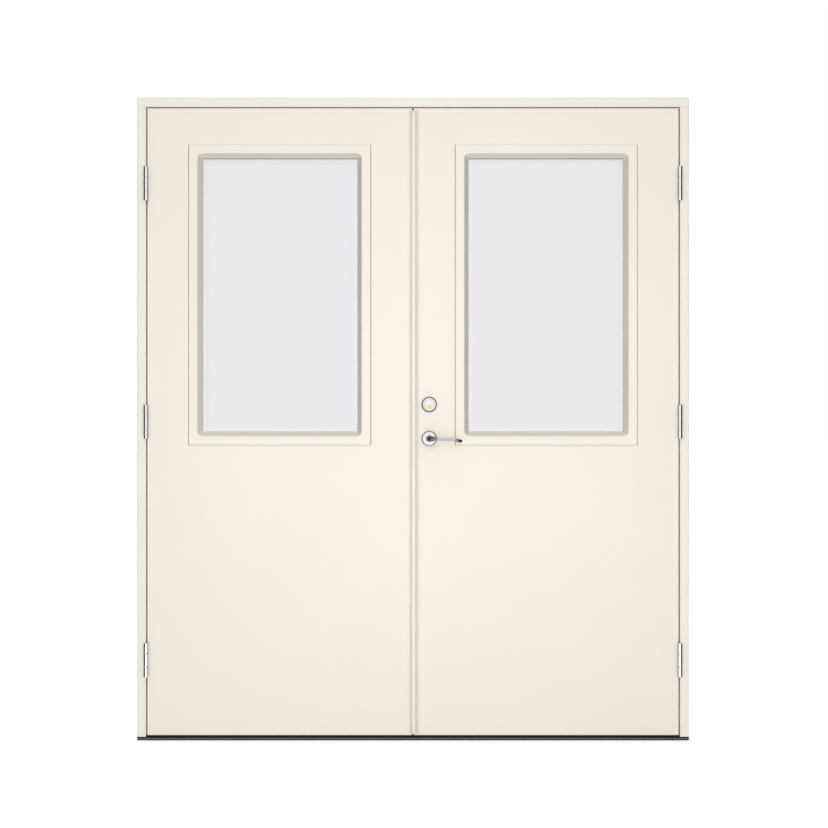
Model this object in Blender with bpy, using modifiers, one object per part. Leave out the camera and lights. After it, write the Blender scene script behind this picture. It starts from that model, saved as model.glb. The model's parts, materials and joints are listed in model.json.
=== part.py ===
"""A double exterior door: frame, sill, two glazed leaves on hinges, lock and lever handle.

Metres. X runs to the right seen from outside, Y into the building, Z up.
The origin is the centre of the sill's underside. Both leaves open towards -Y.
"""

import math

import bmesh
import bpy
from mathutils import Matrix

# Frame
FRAME_WIDTH = 1.785
FRAME_HEIGHT = 2.080
FRAME_DEPTH = 0.105
JAMB_FACE = 0.0285
HEAD_FACE = 0.030
STOP_OVERLAP = 0.008  # the stops reach this far over the leaves
FRAME_ARRIS = 0.001
FRAME_CHAMFER = 0.003  # on the frame's outer upright edges at the front
SILL_HEIGHT = 0.012
SILL_LIP = 0.008
SILL_NOSE = 0.004  # how far the top slopes back from the lip
SILL_FOOT_HEIGHT = 0.0045
SILL_FOOT_SET_BACK = 0.004  # behind the lip

# Seal round the doorway, in a groove of the stops
SEAL_SPACE = 0.010  # from a closed leaf back to the stops
SEAL_WIDTH = 0.003
SEAL_PROUD = 0.005
SEAL_GROOVE = 0.004
SEAL_INSET = 0.004  # from a leaf's edge in to the middle of the seal
SEAL_ROUND = 0.0012

# Leaves
LEAF_THICKNESS = 0.062
SIDE_GAP = 0.005
TOP_GAP = 0.005
BOTTOM_GAP = 0.0055
MEETING_GAP = 0.005
MEETING_BEVEL = 0.003  # the meeting edges lean back this much, so a leaf clears its neighbour
LEAF_ARRIS = 0.001

# Window in each leaf
WINDOW_SIDE_MARGIN = 0.1324  # from a leaf's edge to the trim
WINDOW_TOP_MARGIN = 0.1166
SIGHT_HEIGHT = 0.8834
BEAD_WIDTH = 0.015
BEAD_LIP = 0.002
BEAD_EDGE = 0.002  # how thick the bead ends on the glass
BEAD_SET_BACK = 0.001
BEAD_CORNER = 0.016
BEAD_INNER_CORNER = 0.003
CORNER_STEPS = 6
TRIM_FACE = 0.0305
TRIM_PROUD = 0.005
TRIM_CHAMFER = 0.003  # in from the outer edge
TRIM_SLOPE = 0.0042  # back from the front, over the chamfer
TRIM_CORNER = 0.001
GLASS_THICKNESS = 0.028
GLASS_COVER = 0.0095  # the beads hold this much of the glass unit's rim

# Hinges
HINGE_INSET = 0.2455  # from a leaf's end to the middle of the nearest hinge
HINGE_LENGTH = 0.110
HINGE_MIDDLE_KNUCKLE = 0.044
HINGE_RADIUS = 0.0075
HINGE_ARRIS = 0.0008
HINGE_PIN_RADIUS = 0.004
HINGE_BORE_RADIUS = 0.0045
HINGE_PROUD = 0.009  # the axis stands this far in front of the frame
HINGE_PLATE = 0.0025
HINGE_PLATE_DEPTH = 0.032
HINGE_STEPS = 24

# Cover strips over the meeting of the leaves
STRIP_LEFT_REACH = 0.0126
STRIP_RIGHT_REACH = 0.0190
STRIP_RIDGE = 0.0036  # the ridge's width past the right leaf's edge
STRIP_OVERHANG = 0.0022  # from the middle of the gap towards the left leaf
STRIP_HEIGHT = 0.0050
STRIP_WEB = 0.0010
STRIP_LIP = 0.0024
STRIP_TOP_STOP = 0.009
STRIP_BOTTOM_STOP = 0.006
GROOVE_STEPS = 8
MEETING_SEAL_REACH = 0.0013  # from the middle of the gap towards the left leaf
MEETING_SEAL_DEPTH = 0.014
MEETING_SEAL_BACK = 0.004  # in front of the lock's plates

# Lock case parts in the meeting edges
BACKSET = 0.050
LEVER_HEIGHT = 0.977
CYLINDER_RISE = 0.110  # from the lever up to the cylinder
PLATE_THICKNESS = 0.003
PLATE_WIDTH = 0.022
PLATE_MARGIN = 0.0625  # past the lever below and the cylinder above
LATCH_SIZE = (0.020, 0.012, 0.030)
DEAD_BOLT_SIZE = (0.020, 0.014, 0.034)
DEAD_BOLT_DROP = 0.042  # below the cylinder
BOLT_SET_BACK = 0.0005
FLUSH_BOLT_WIDTH = 0.018
FLUSH_BOLT_LENGTH = 0.200
FLUSH_BOLT_INSET = 0.030
FLUSH_BOLT_LEVER = 0.050
FLUSH_BOLT_RECESS = 0.0015

# Handle and cylinder
ROSETTE_RADIUS = 0.0245
ROSETTE_HEIGHT = 0.008
ROSETTE_ARRIS = 0.002
NECK_RADIUS = 0.0105
LEVER_REACH = 0.1055
LEVER_STAND_OFF = 0.050
LEVER_RADIUS = 0.0052
LEVER_DROP = 0.007
LEVER_RETURN = 0.024
LEVER_BEND = 0.020  # centre-line radius where the neck turns into the bar
LEVER_TIP_BEND = 0.012
LEVER_STRAIGHT = 0.070  # along the bar before it drops
LEVER_TIP = 0.002  # the length over which the tip rounds off
BEND_STEPS = 7
SPINDLE_SIDE = 0.008
SPINDLE_BORE_RADIUS = 0.0125
SOCKET_DEPTH = 0.015
COLLAR_RADIUS = 0.0252
COLLAR_TOP_RADIUS = 0.0212
COLLAR_HEIGHT = 0.0115
CYLINDER_RADIUS = 0.0165
CYLINDER_HEAD = 0.0105
CYLINDER_DEPTH = 0.040
CYLINDER_ARRIS = 0.001
PLUG_RADIUS = 0.0068
PLUG_DROP = 0.0087
PLUG_DEPTH = 0.025
PLUG_PROUD = 0.0006
KEYWAY = (0.0018, 0.0080, 0.012)
TURN_SIZE = (0.006, 0.020, 0.034)
TURN_ARRIS = 0.002
TURNED_STEPS = 40

# Clearances
SEAT = 0.0003  # between pieces that touch
RUNNING = 0.0005  # between pieces that turn in each other
OVERSHOOT = 0.002  # how far a cutter runs past the face it opens

FRONT = -FRAME_DEPTH / 2
BACK = FRAME_DEPTH / 2
LEAF_BACK = FRONT + LEAF_THICKNESS
LEAF_MIDDLE = FRONT + LEAF_THICKNESS / 2
STOP_FRONT = LEAF_BACK + SEAL_SPACE
JAMB_INSIDE = FRAME_WIDTH / 2 - JAMB_FACE
LEAF_OUTER = JAMB_INSIDE - SIDE_GAP
LEAF_INNER = MEETING_GAP / 2
LEAF_CENTRE = (LEAF_OUTER + LEAF_INNER) / 2
STOP_INSIDE = LEAF_OUTER - STOP_OVERLAP
HEAD_UNDERSIDE = FRAME_HEIGHT - HEAD_FACE
LEAF_TOP = HEAD_UNDERSIDE - TOP_GAP
LEAF_BOTTOM = SILL_HEIGHT + BOTTOM_GAP
SIGHT_WIDTH = LEAF_OUTER - LEAF_INNER - 2 * (WINDOW_SIDE_MARGIN + TRIM_FACE + BEAD_WIDTH)
WINDOW_CENTRE = LEAF_TOP - WINDOW_TOP_MARGIN - TRIM_FACE - BEAD_WIDTH - SIGHT_HEIGHT / 2
HINGE_HEIGHTS = {
    "bottom": LEAF_BOTTOM + HINGE_INSET,
    "middle": (LEAF_BOTTOM + LEAF_TOP) / 2,
    "top": LEAF_TOP - HINGE_INSET,
}
AXIS_X = (JAMB_INSIDE + LEAF_OUTER) / 2
AXIS_Y = FRONT - HINGE_PROUD
LEVER_X = LEAF_INNER + BACKSET
CYLINDER_HEIGHT = LEVER_HEIGHT + CYLINDER_RISE
PLATE_CENTRE = (LEVER_HEIGHT + CYLINDER_HEIGHT) / 2
PLATE_LENGTH = CYLINDER_RISE + 2 * PLATE_MARGIN
DEAD_BOLT_CENTRE = CYLINDER_HEIGHT - DEAD_BOLT_DROP
MEETING_LEAN = math.atan2(MEETING_BEVEL, LEAF_THICKNESS)
SIDES = {"left": -1, "right": 1}
FACES = {"outer": -1, "inner": 1}
ALONG = {"x": (math.pi / 2, 0, math.pi / 2), "y": (math.pi / 2, 0, 0), "z": (0, 0, 0)}


def clear_scene():
    for old in list(bpy.data.objects):
        bpy.data.objects.remove(old, do_unlink=True)


def new_collection(name):
    collection = bpy.data.collections.new(name)
    bpy.context.scene.collection.children.link(collection)
    return collection


def material(name, colour, roughness, metallic=0.0):
    made = bpy.data.materials.new(name)
    made.use_nodes = True
    shader = made.node_tree.nodes["Principled BSDF"]
    shader.inputs["Base Color"].default_value = (*colour, 1)
    shader.inputs["Roughness"].default_value = roughness
    shader.inputs["Metallic"].default_value = metallic
    made.diffuse_color = (*colour, 1)
    return made


clear_scene()
DOOR = new_collection("double_exterior_door")
CUTTERS = new_collection("cutters")
PAINT = material("cream_paint", (0.90, 0.84, 0.77), 0.45)
FRAME_PAINT = material("frame_paint", (0.89, 0.85, 0.78), 0.5)
BEAD_PAINT = material("bead_paint", (0.62, 0.60, 0.54), 0.5)
GLASS = material("glass", (0.83, 0.84, 0.85), 0.05)
CHROME = material("chrome", (0.85, 0.85, 0.86), 0.12, 1.0)
STEEL = material("brushed_steel", (0.72, 0.71, 0.70), 0.3, 1.0)
BRASS = material("brass", (0.85, 0.68, 0.25), 0.25, 1.0)
SILL_METAL = material("dark_aluminium", (0.11, 0.10, 0.09), 0.45, 0.6)
RUBBER = material("rubber", (0.03, 0.03, 0.03), 0.8)


def add(name, mesh, finish):
    """A part where a finish is given, and a hidden cutter or joined piece where it is None."""
    piece = bpy.data.objects.new(name, mesh)
    if finish:
        DOOR.objects.link(piece)
        mesh.materials.append(finish)
    else:
        CUTTERS.objects.link(piece)
        piece.hide_render = True
        piece.display_type = "WIRE"
    return piece


def mesh_from(shape, name):
    mesh = bpy.data.meshes.new(name)
    shape.to_mesh(mesh)
    shape.free()
    return mesh


def smooth(mesh, angle=math.radians(35)):
    mesh.shade_smooth()
    mesh.set_sharp_from_angle(angle=angle)


def block(name, low, high, finish=None, turn=0.0):
    """A box between two corners, turned about its own upright axis."""
    shape = bmesh.new()
    bmesh.ops.create_cube(shape, size=1)
    bmesh.ops.scale(shape, vec=[b - a for a, b in zip(low, high)], verts=shape.verts)
    piece = add(name, mesh_from(shape, name), finish)
    piece.location = [(a + b) / 2 for a, b in zip(low, high)]
    piece.rotation_euler = (0, 0, turn)
    return piece


def rod(name, radius, low, high, centre, axis="z", finish=None, steps=TURNED_STEPS):
    """A round bar along one axis, from low to high, through a centre on the other two."""
    shape = bmesh.new()
    bmesh.ops.create_cone(
        shape, cap_ends=True, segments=steps, radius1=radius, radius2=radius, depth=high - low
    )
    mesh = mesh_from(shape, name)
    smooth(mesh)
    piece = add(name, mesh, finish)
    place = list(centre)
    place.insert("xyz".index(axis), (low + high) / 2)
    piece.location = place
    piece.rotation_euler = ALONG[axis]
    return piece


def mesh_of(guide, name):
    """The closed mesh of a curve object, which is removed."""
    bpy.context.view_layer.update()
    evaluated = guide.evaluated_get(bpy.context.evaluated_depsgraph_get())
    mesh = bpy.data.meshes.new_from_object(evaluated)
    mesh.name = name
    mesh.materials.clear()
    shape = bmesh.new()
    shape.from_mesh(mesh)
    bmesh.ops.remove_doubles(shape, verts=shape.verts, dist=1e-6)
    bmesh.ops.recalc_face_normals(shape, faces=shape.faces)
    shape.to_mesh(mesh)
    shape.free()
    bpy.data.objects.remove(guide, do_unlink=True)
    return mesh


def extruded(name, outlines, axis, low, high, finish=None):
    """A flat outline, with holes where more follow, extruded along an axis from low to high."""
    curve = bpy.data.curves.new(name, "CURVE")
    curve.dimensions = "2D"
    curve.fill_mode = "BOTH"
    curve.extrude = (high - low) / 2
    for outline in outlines:
        spline = curve.splines.new("POLY")
        spline.points.add(len(outline) - 1)
        for point, place in zip(spline.points, outline):
            point.co = (*place, 0, 1)
        spline.use_cyclic_u = True
    guide = bpy.data.objects.new(name, curve)
    CUTTERS.objects.link(guide)
    piece = add(name, mesh_of(guide, name), finish)
    piece.location["xyz".index(axis)] = (low + high) / 2
    piece.rotation_euler = ALONG[axis]
    return piece


def turned(name, profile, place, face, finish, closed=True):
    """A profile of (radius, height) turned about an axis square to the leaf's face."""
    mesh = bpy.data.meshes.new(name)
    edges = [(i, i + 1) for i in range(len(profile) - 1)]
    if closed:
        edges.append((len(profile) - 1, 0))
    mesh.from_pydata([(radius, 0, height) for radius, height in profile], edges, [])
    piece = add(name, mesh, finish)
    piece.location = place
    piece.rotation_euler = (-face * math.pi / 2, 0, 0)
    screw = piece.modifiers.new("turn", "SCREW")
    screw.steps = TURNED_STEPS
    screw.render_steps = TURNED_STEPS
    screw.use_merge_vertices = True
    screw.merge_threshold = 0.00001
    screw.use_smooth_shade = True
    screw.use_normal_calculate = False
    return piece


def rounded(piece, width, segments=2):
    bevel = piece.modifiers.new("arris", "BEVEL")
    bevel.width = width
    bevel.segments = segments
    bevel.limit_method = "ANGLE"
    bevel.angle_limit = math.radians(50)


def boolean(piece, operation, others):
    for other in others:
        step = piece.modifiers.new(other.name, "BOOLEAN")
        step.operation = operation
        step.object = other


def cut(piece, *cutters):
    boolean(piece, "DIFFERENCE", cutters)


def join(piece, *others):
    boolean(piece, "UNION", others)


def pivot(name, place, parent=None):
    empty = bpy.data.objects.new(name, None)
    empty.empty_display_size = 0.05
    DOOR.objects.link(empty)
    empty.location = place
    if parent:
        attach(parent, [empty])
    return empty


def attach(parent, pieces):
    """Parents the pieces without moving them."""
    bpy.context.view_layer.update()
    for piece in pieces:
        piece.parent = parent
        piece.matrix_parent_inverse = parent.matrix_world.inverted()


def rectangle(half_width, low, high, centre=0.0):
    return [
        (centre - half_width, low),
        (centre + half_width, low),
        (centre + half_width, high),
        (centre - half_width, high),
    ]


def rounded_rectangle(width, height, radius, centre):
    """Corner arcs of an upright rectangle, anticlockwise from the lower right."""
    points = []
    for quarter, (side, end) in enumerate(((1, -1), (1, 1), (-1, 1), (-1, -1))):
        start = (quarter - 1) * math.pi / 2
        for step in range(CORNER_STEPS + 1):
            angle = start + step * math.pi / 2 / CORNER_STEPS
            points.append((
                centre[0] + side * (width / 2 - radius) + radius * math.cos(angle),
                centre[1] + end * (height / 2 - radius) + radius * math.sin(angle),
            ))
    return points


def seal_ring(extra):
    """The seal's two outlines round the doorway, made wider by extra on each side."""
    outlines = []
    for step in (1, -1):
        reach = step * (SEAL_WIDTH / 2 + extra) - SEAL_INSET
        outlines.append(rectangle(LEAF_OUTER + reach, LEAF_BOTTOM - reach, LEAF_TOP + reach))
    return outlines


def frame_pieces():
    """Jambs on the sill, the head over them, and the stops that the leaves close against."""
    groove = extruded(
        "seal_groove", seal_ring(SEAT), "y", STOP_FRONT - OVERSHOOT, STOP_FRONT + SEAL_GROOVE + SEAT
    )
    rounded(groove, SEAL_ROUND)
    half = FRAME_WIDTH / 2
    jambs = {}
    for name, side in SIDES.items():
        outline = [
            (side * half, FRONT + FRAME_CHAMFER),
            (side * (half - FRAME_CHAMFER), FRONT),
            (side * JAMB_INSIDE, FRONT),
            (side * JAMB_INSIDE, STOP_FRONT),
            (side * STOP_INSIDE, STOP_FRONT),
            (side * STOP_INSIDE, BACK),
            (side * half, BACK),
        ]
        jamb = extruded(
            name + "_jamb", [outline], "z", SILL_HEIGHT + SEAT, HEAD_UNDERSIDE - SEAT, FRAME_PAINT
        )
        rounded(jamb, FRAME_ARRIS)
        cut(jamb, groove)
        jambs[name] = jamb

    head_outline = [
        (-half, BACK),
        (-half, FRONT + FRAME_CHAMFER),
        (FRAME_CHAMFER - half, FRONT),
        (half - FRAME_CHAMFER, FRONT),
        (half, FRONT + FRAME_CHAMFER),
        (half, BACK),
    ]
    head = extruded("head", [head_outline], "z", HEAD_UNDERSIDE, FRAME_HEIGHT, FRAME_PAINT)
    rounded(head, FRAME_ARRIS)
    between = STOP_INSIDE - SEAT
    stop = block(
        "head_stop",
        (-between, STOP_FRONT, LEAF_TOP - STOP_OVERLAP),
        (between, BACK - FRAME_ARRIS, HEAD_UNDERSIDE + OVERSHOOT),
    )
    join(head, stop)
    cut(head, groove)

    sill_outline = [
        (FRONT + SILL_FOOT_SET_BACK, 0),
        (BACK, 0),
        (BACK, SILL_HEIGHT),
        (FRONT + SILL_NOSE, SILL_HEIGHT),
        (FRONT, SILL_LIP),
        (FRONT, SILL_FOOT_HEIGHT),
        (FRONT + SILL_FOOT_SET_BACK, SILL_FOOT_HEIGHT),
    ]
    extruded("sill", [sill_outline], "x", -half, half, SILL_METAL)
    threshold = block(
        "threshold_stop",
        (-between, STOP_FRONT, SILL_HEIGHT + SEAT),
        (between, BACK, LEAF_BOTTOM + STOP_OVERLAP),
        SILL_METAL,
    )
    rounded(threshold, FRAME_ARRIS)
    cut(threshold, groove)
    seal = extruded(
        "frame_seal", seal_ring(0), "y", STOP_FRONT - SEAL_PROUD, STOP_FRONT + SEAL_GROOVE, RUBBER
    )
    rounded(seal, SEAL_ROUND)
    return jambs


def hinge_half(name, side, plate_x, height, knuckles, bore, pin, finish):
    """A mortised plate with tabs to its knuckles, which lie on the hinge's axis."""
    axis_x = side * AXIS_X
    plate = block(
        name,
        (min(plate_x), FRONT, height - HINGE_LENGTH / 2),
        (max(plate_x), FRONT + HINGE_PLATE_DEPTH, height + HINGE_LENGTH / 2),
        finish,
    )
    joined = []
    for number, (low, high) in enumerate(knuckles):
        tab = block(
            f"{name}_tab_{number}",
            (min(plate_x), AXIS_Y, height + low),
            (max(plate_x), FRONT + OVERSHOOT, height + high),
        )
        knuckle = rod(
            f"{name}_knuckle_{number}",
            HINGE_RADIUS,
            height + low,
            height + high,
            (axis_x, AXIS_Y),
            steps=HINGE_STEPS,
        )
        rounded(knuckle, HINGE_ARRIS, 1)
        joined += [tab, knuckle]
    ends = (height - HINGE_LENGTH / 2 + OVERSHOOT, height + HINGE_LENGTH / 2 - OVERSHOOT)
    if pin:
        joined.append(
            rod(name + "_pin", HINGE_PIN_RADIUS, *ends, (axis_x, AXIS_Y), steps=HINGE_STEPS)
        )
    join(plate, *joined)
    if bore:
        hole = rod(name + "_bore", HINGE_BORE_RADIUS, *ends, (axis_x, AXIS_Y), steps=HINGE_STEPS)
        cut(plate, hole)
        joined.append(hole)
    return plate, joined


def mortise(name, side, plate_x, height, open_side):
    """Room for a hinge plate, open at the front and on the side where the plate is flush."""
    low, high = min(plate_x) - SEAT, max(plate_x) + SEAT
    if open_side > 0:
        high += OVERSHOOT
    else:
        low -= OVERSHOOT
    reach = HINGE_LENGTH / 2 + SEAT
    return block(
        name,
        (low, FRONT - OVERSHOOT, height - reach),
        (high, FRONT + HINGE_PLATE_DEPTH + SEAT, height + reach),
    )


def hinges(name, side, jamb, slab):
    """Three hinges: the frame half has the outer knuckles and the pin, the leaf half the middle one."""
    carried = []
    middle = HINGE_MIDDLE_KNUCKLE / 2
    end = HINGE_LENGTH / 2
    for place, height in HINGE_HEIGHTS.items():
        frame_x = (side * JAMB_INSIDE, side * (JAMB_INSIDE + HINGE_PLATE))
        hinge_half(
            f"{name}_{place}_hinge_frame_half",
            side,
            frame_x,
            height,
            ((-end, -middle - RUNNING / 2), (middle + RUNNING / 2, end)),
            False,
            True,
            STEEL,
        )
        cut(jamb, mortise(f"{name}_{place}_frame_mortise", side, frame_x, height, -side))
        leaf_x = (side * LEAF_OUTER, side * (LEAF_OUTER - HINGE_PLATE))
        half, joined = hinge_half(
            f"{name}_{place}_hinge_leaf_half",
            side,
            leaf_x,
            height,
            ((-middle + RUNNING / 2, middle - RUNNING / 2),),
            True,
            False,
            STEEL,
        )
        room = mortise(f"{name}_{place}_leaf_mortise", side, leaf_x, height, side)
        cut(slab, room)
        carried += [half, room, *joined]
    return carried


def slab(name, side):
    """The leaf's solid panel, with the opening for its window."""
    outline = [
        (side * LEAF_OUTER, FRONT),
        (side * LEAF_INNER, FRONT),
        (side * (LEAF_INNER + MEETING_BEVEL), LEAF_BACK),
        (side * LEAF_OUTER, LEAF_BACK),
    ]
    panel = extruded(name + "_leaf_slab", [outline], "z", LEAF_BOTTOM, LEAF_TOP, PAINT)
    rounded(panel, LEAF_ARRIS)
    half_width = SIGHT_WIDTH / 2 + BEAD_WIDTH + SEAT
    half_height = SIGHT_HEIGHT / 2 + BEAD_WIDTH + SEAT
    opening = block(
        name + "_window_opening",
        (side * LEAF_CENTRE - half_width, FRONT - OVERSHOOT, WINDOW_CENTRE - half_height),
        (side * LEAF_CENTRE + half_width, LEAF_BACK + OVERSHOOT, WINDOW_CENTRE + half_height),
    )
    cut(panel, opening)
    return panel, opening


def ring(name, section, centre_x, face, finish):
    """A frame round the window, lofted through rounded rectangles.

    Each station of the section is a distance out from the edge of the sight, a distance
    out from the middle of the leaf and the radius of the rectangle's corners there.
    """
    shape = bmesh.new()
    loops = []
    for out, distance, corner in section:
        outline = rounded_rectangle(
            SIGHT_WIDTH + 2 * out, SIGHT_HEIGHT + 2 * out, corner, (centre_x, WINDOW_CENTRE)
        )
        loops.append([shape.verts.new((x, LEAF_MIDDLE + face * distance, z)) for x, z in outline])
    for loop, following in zip(loops, loops[1:] + loops[:1]):
        across = list(zip(loop, following))
        for (near, far), (next_near, next_far) in zip(across, across[1:] + across[:1]):
            shape.faces.new((near, far, next_far, next_near))
    bmesh.ops.recalc_face_normals(shape, faces=shape.faces)
    mesh = mesh_from(shape, name)
    smooth(mesh)
    return add(name, mesh, finish)


def bead(name, centre_x, face):
    """Slopes from the trim down to the glass."""
    glass_face = GLASS_THICKNESS / 2 + SEAT
    front = LEAF_THICKNESS / 2 + TRIM_PROUD - BEAD_SET_BACK
    section = (
        (BEAD_WIDTH, glass_face, BEAD_CORNER),
        (BEAD_WIDTH, front, BEAD_CORNER),
        (BEAD_WIDTH - BEAD_LIP, front, BEAD_CORNER - BEAD_LIP),
        (0, glass_face + BEAD_EDGE, BEAD_INNER_CORNER),
        (0, glass_face, BEAD_INNER_CORNER),
    )
    return ring(name, section, centre_x, face, BEAD_PAINT)


def trim(name, centre_x, face):
    """A raised frame round the bead, chamfered outside and rounded inside."""
    inner = BEAD_WIDTH + SEAT
    outer = BEAD_WIDTH + TRIM_FACE
    back = LEAF_THICKNESS / 2 + SEAT
    front = LEAF_THICKNESS / 2 + TRIM_PROUD
    section = (
        (inner, back, BEAD_CORNER + SEAT),
        (inner, front, BEAD_CORNER + SEAT),
        (outer - TRIM_CHAMFER, front, TRIM_CORNER),
        (outer, front - TRIM_SLOPE, TRIM_CORNER + TRIM_CHAMFER),
        (outer, back, TRIM_CORNER + TRIM_CHAMFER),
    )
    return ring(name, section, centre_x, face, PAINT)


def window(name, side):
    centre_x = side * LEAF_CENTRE
    pieces = []
    for face_name, face in FACES.items():
        pieces.append(trim(f"{name}_{face_name}_window_trim", centre_x, face))
        pieces.append(bead(f"{name}_{face_name}_glazing_bead", centre_x, face))
    half_width = SIGHT_WIDTH / 2 + GLASS_COVER
    half_height = SIGHT_HEIGHT / 2 + GLASS_COVER
    half_thickness = GLASS_THICKNESS / 2
    pieces.append(
        block(
            name + "_glass_unit",
            (centre_x - half_width, LEAF_MIDDLE - half_thickness, WINDOW_CENTRE - half_height),
            (centre_x + half_width, LEAF_MIDDLE + half_thickness, WINDOW_CENTRE + half_height),
            GLASS,
        )
    )
    return pieces


def hollow(start, end, deep, shallow):
    """Points of a round hollow between two places across the strip, from start to end."""
    points = []
    for step in range(GROOVE_STEPS + 1):
        share = step / GROOVE_STEPS
        level = shallow - (shallow - deep) * math.sin(math.pi * share)
        points.append((start + (end - start) * share, FRONT - level))
    return points


def meeting_strips():
    """The cover strip over the meeting edges, parted so that each leaf opens by itself."""
    low = LEAF_BOTTOM + STRIP_BOTTOM_STOP
    high = LEAF_TOP - STRIP_TOP_STOP
    seat = FRONT - SEAT
    left = [(-STRIP_LEFT_REACH, seat), (-STRIP_LEFT_REACH, FRONT - STRIP_HEIGHT)]
    left += hollow(-STRIP_LEFT_REACH + STRIP_LIP, -LEAF_INNER, STRIP_WEB, STRIP_HEIGHT)
    left.append((-LEAF_INNER, seat))
    ridge_end = LEAF_INNER + STRIP_RIDGE
    right = [(-STRIP_OVERHANG, seat), (-STRIP_OVERHANG, FRONT - STRIP_HEIGHT)]
    right += hollow(ridge_end, STRIP_RIGHT_REACH - STRIP_LIP, STRIP_WEB, STRIP_HEIGHT)
    right += [(STRIP_RIGHT_REACH, FRONT - STRIP_HEIGHT), (STRIP_RIGHT_REACH, seat)]
    left_strip = extruded("left_meeting_strip", [left], "z", low, high, PAINT)
    right_strip = extruded("right_meeting_strip", [right], "z", low, high, PAINT)
    seal = block(
        "meeting_seal",
        (-MEETING_SEAL_REACH, FRONT + MEETING_SEAL_BACK, LEAF_BOTTOM),
        (LEAF_INNER - SEAT, FRONT + MEETING_SEAL_BACK + MEETING_SEAL_DEPTH, LEAF_TOP),
        RUBBER,
    )
    rounded(seal, SEAL_ROUND)
    return left_strip, right_strip, seal


def edge_block(name, side, depths, width, low, high, finish=None):
    """A box set square to a leaf's leaning meeting edge, from one depth under it to another."""
    depth = (depths[0] + depths[1]) / 2
    centre_x = side * (LEAF_INNER + MEETING_BEVEL / 2 + depth * math.cos(MEETING_LEAN))
    centre_y = LEAF_MIDDLE - depth * math.sin(MEETING_LEAN)
    half = (depths[1] - depths[0]) / 2
    return block(
        name,
        (centre_x - half, centre_y - width / 2, low),
        (centre_x + half, centre_y + width / 2, high),
        finish,
        -side * MEETING_LEAN,
    )


def edge_plate(name, side, width, centre, length, panel):
    """A flush plate in a leaf's meeting edge and the room for it."""
    low, high = centre - length / 2, centre + length / 2
    plate = edge_block(name, side, (SEAT, SEAT + PLATE_THICKNESS), width, low, high, STEEL)
    room = edge_block(
        name + "_room",
        side,
        (-OVERSHOOT, 2 * SEAT + PLATE_THICKNESS),
        width + 2 * SEAT,
        low - SEAT,
        high + SEAT,
    )
    cut(panel, room)
    return plate, room


def bolt_hole(name, side, size, centre, gap):
    return edge_block(
        name,
        side,
        (-OVERSHOOT, BOLT_SET_BACK + size[0] + gap),
        size[1] + 2 * gap,
        centre - size[2] / 2 - gap,
        centre + size[2] / 2 + gap,
    )


def bolt(name, size, centre):
    piece = edge_block(
        name,
        1,
        (BOLT_SET_BACK, BOLT_SET_BACK + size[0]),
        size[1],
        centre - size[2] / 2,
        centre + size[2] / 2,
        STEEL,
    )
    rounded(piece, LEAF_ARRIS)
    return piece


def lock(panel):
    """The active leaf's lock: its faceplate and the two bolts, drawn back."""
    plate, room = edge_plate(
        "lock_faceplate", 1, PLATE_WIDTH, PLATE_CENTRE, PLATE_LENGTH, panel
    )
    carried = [plate, room]
    for name, size, centre in (
        ("latch_bolt", LATCH_SIZE, LEVER_HEIGHT),
        ("dead_bolt", DEAD_BOLT_SIZE, DEAD_BOLT_CENTRE),
    ):
        carried.append(bolt(name, size, centre))
        hole = bolt_hole(name + "_hole", 1, size, centre, SEAT)
        cut(plate, hole)
        cut(panel, hole)
        carried.append(hole)
    return carried


def strike(panel):
    """The passive leaf's strike plate, open where the two bolts shoot in."""
    plate, room = edge_plate(
        "strike_plate", -1, PLATE_WIDTH, PLATE_CENTRE, PLATE_LENGTH, panel
    )
    carried = [plate, room]
    for name, size, centre in (
        ("latch_strike", LATCH_SIZE, LEVER_HEIGHT),
        ("dead_bolt_strike", DEAD_BOLT_SIZE, DEAD_BOLT_CENTRE),
    ):
        hole = bolt_hole(name, -1, size, centre, OVERSHOOT)
        cut(plate, hole)
        cut(panel, hole)
        carried.append(hole)
    return carried


def flush_bolts(panel):
    """The passive leaf's top and bottom bolts: a flush plate with a finger lever in a recess."""
    carried = []
    reach = FLUSH_BOLT_INSET + FLUSH_BOLT_LENGTH / 2
    for name, centre in (("top", LEAF_TOP - reach), ("bottom", LEAF_BOTTOM + reach)):
        plate, room = edge_plate(
            name + "_flush_bolt", -1, FLUSH_BOLT_WIDTH, centre, FLUSH_BOLT_LENGTH, panel
        )
        recess = edge_block(
            name + "_flush_bolt_recess",
            -1,
            (-OVERSHOOT, SEAT + FLUSH_BOLT_RECESS),
            FLUSH_BOLT_WIDTH / 2,
            centre - FLUSH_BOLT_LEVER / 2,
            centre + FLUSH_BOLT_LEVER / 2,
        )
        cut(plate, recess)
        carried += [plate, room, recess]
    return carried


def on_leaf(face, height):
    """The point on a leaf's face over the backset line, a seat's gap off the surface."""
    return (LEVER_X, LEAF_MIDDLE + face * (LEAF_THICKNESS / 2 + SEAT), height)


def rosette(name, face):
    bore = NECK_RADIUS + RUNNING
    profile = [
        (bore, ROSETTE_HEIGHT),
        (ROSETTE_RADIUS - ROSETTE_ARRIS, ROSETTE_HEIGHT),
        (ROSETTE_RADIUS, ROSETTE_HEIGHT - ROSETTE_ARRIS),
        (ROSETTE_RADIUS, 0),
        (bore, 0),
    ]
    return turned(name, profile, on_leaf(face, LEVER_HEIGHT), face, CHROME)


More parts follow.
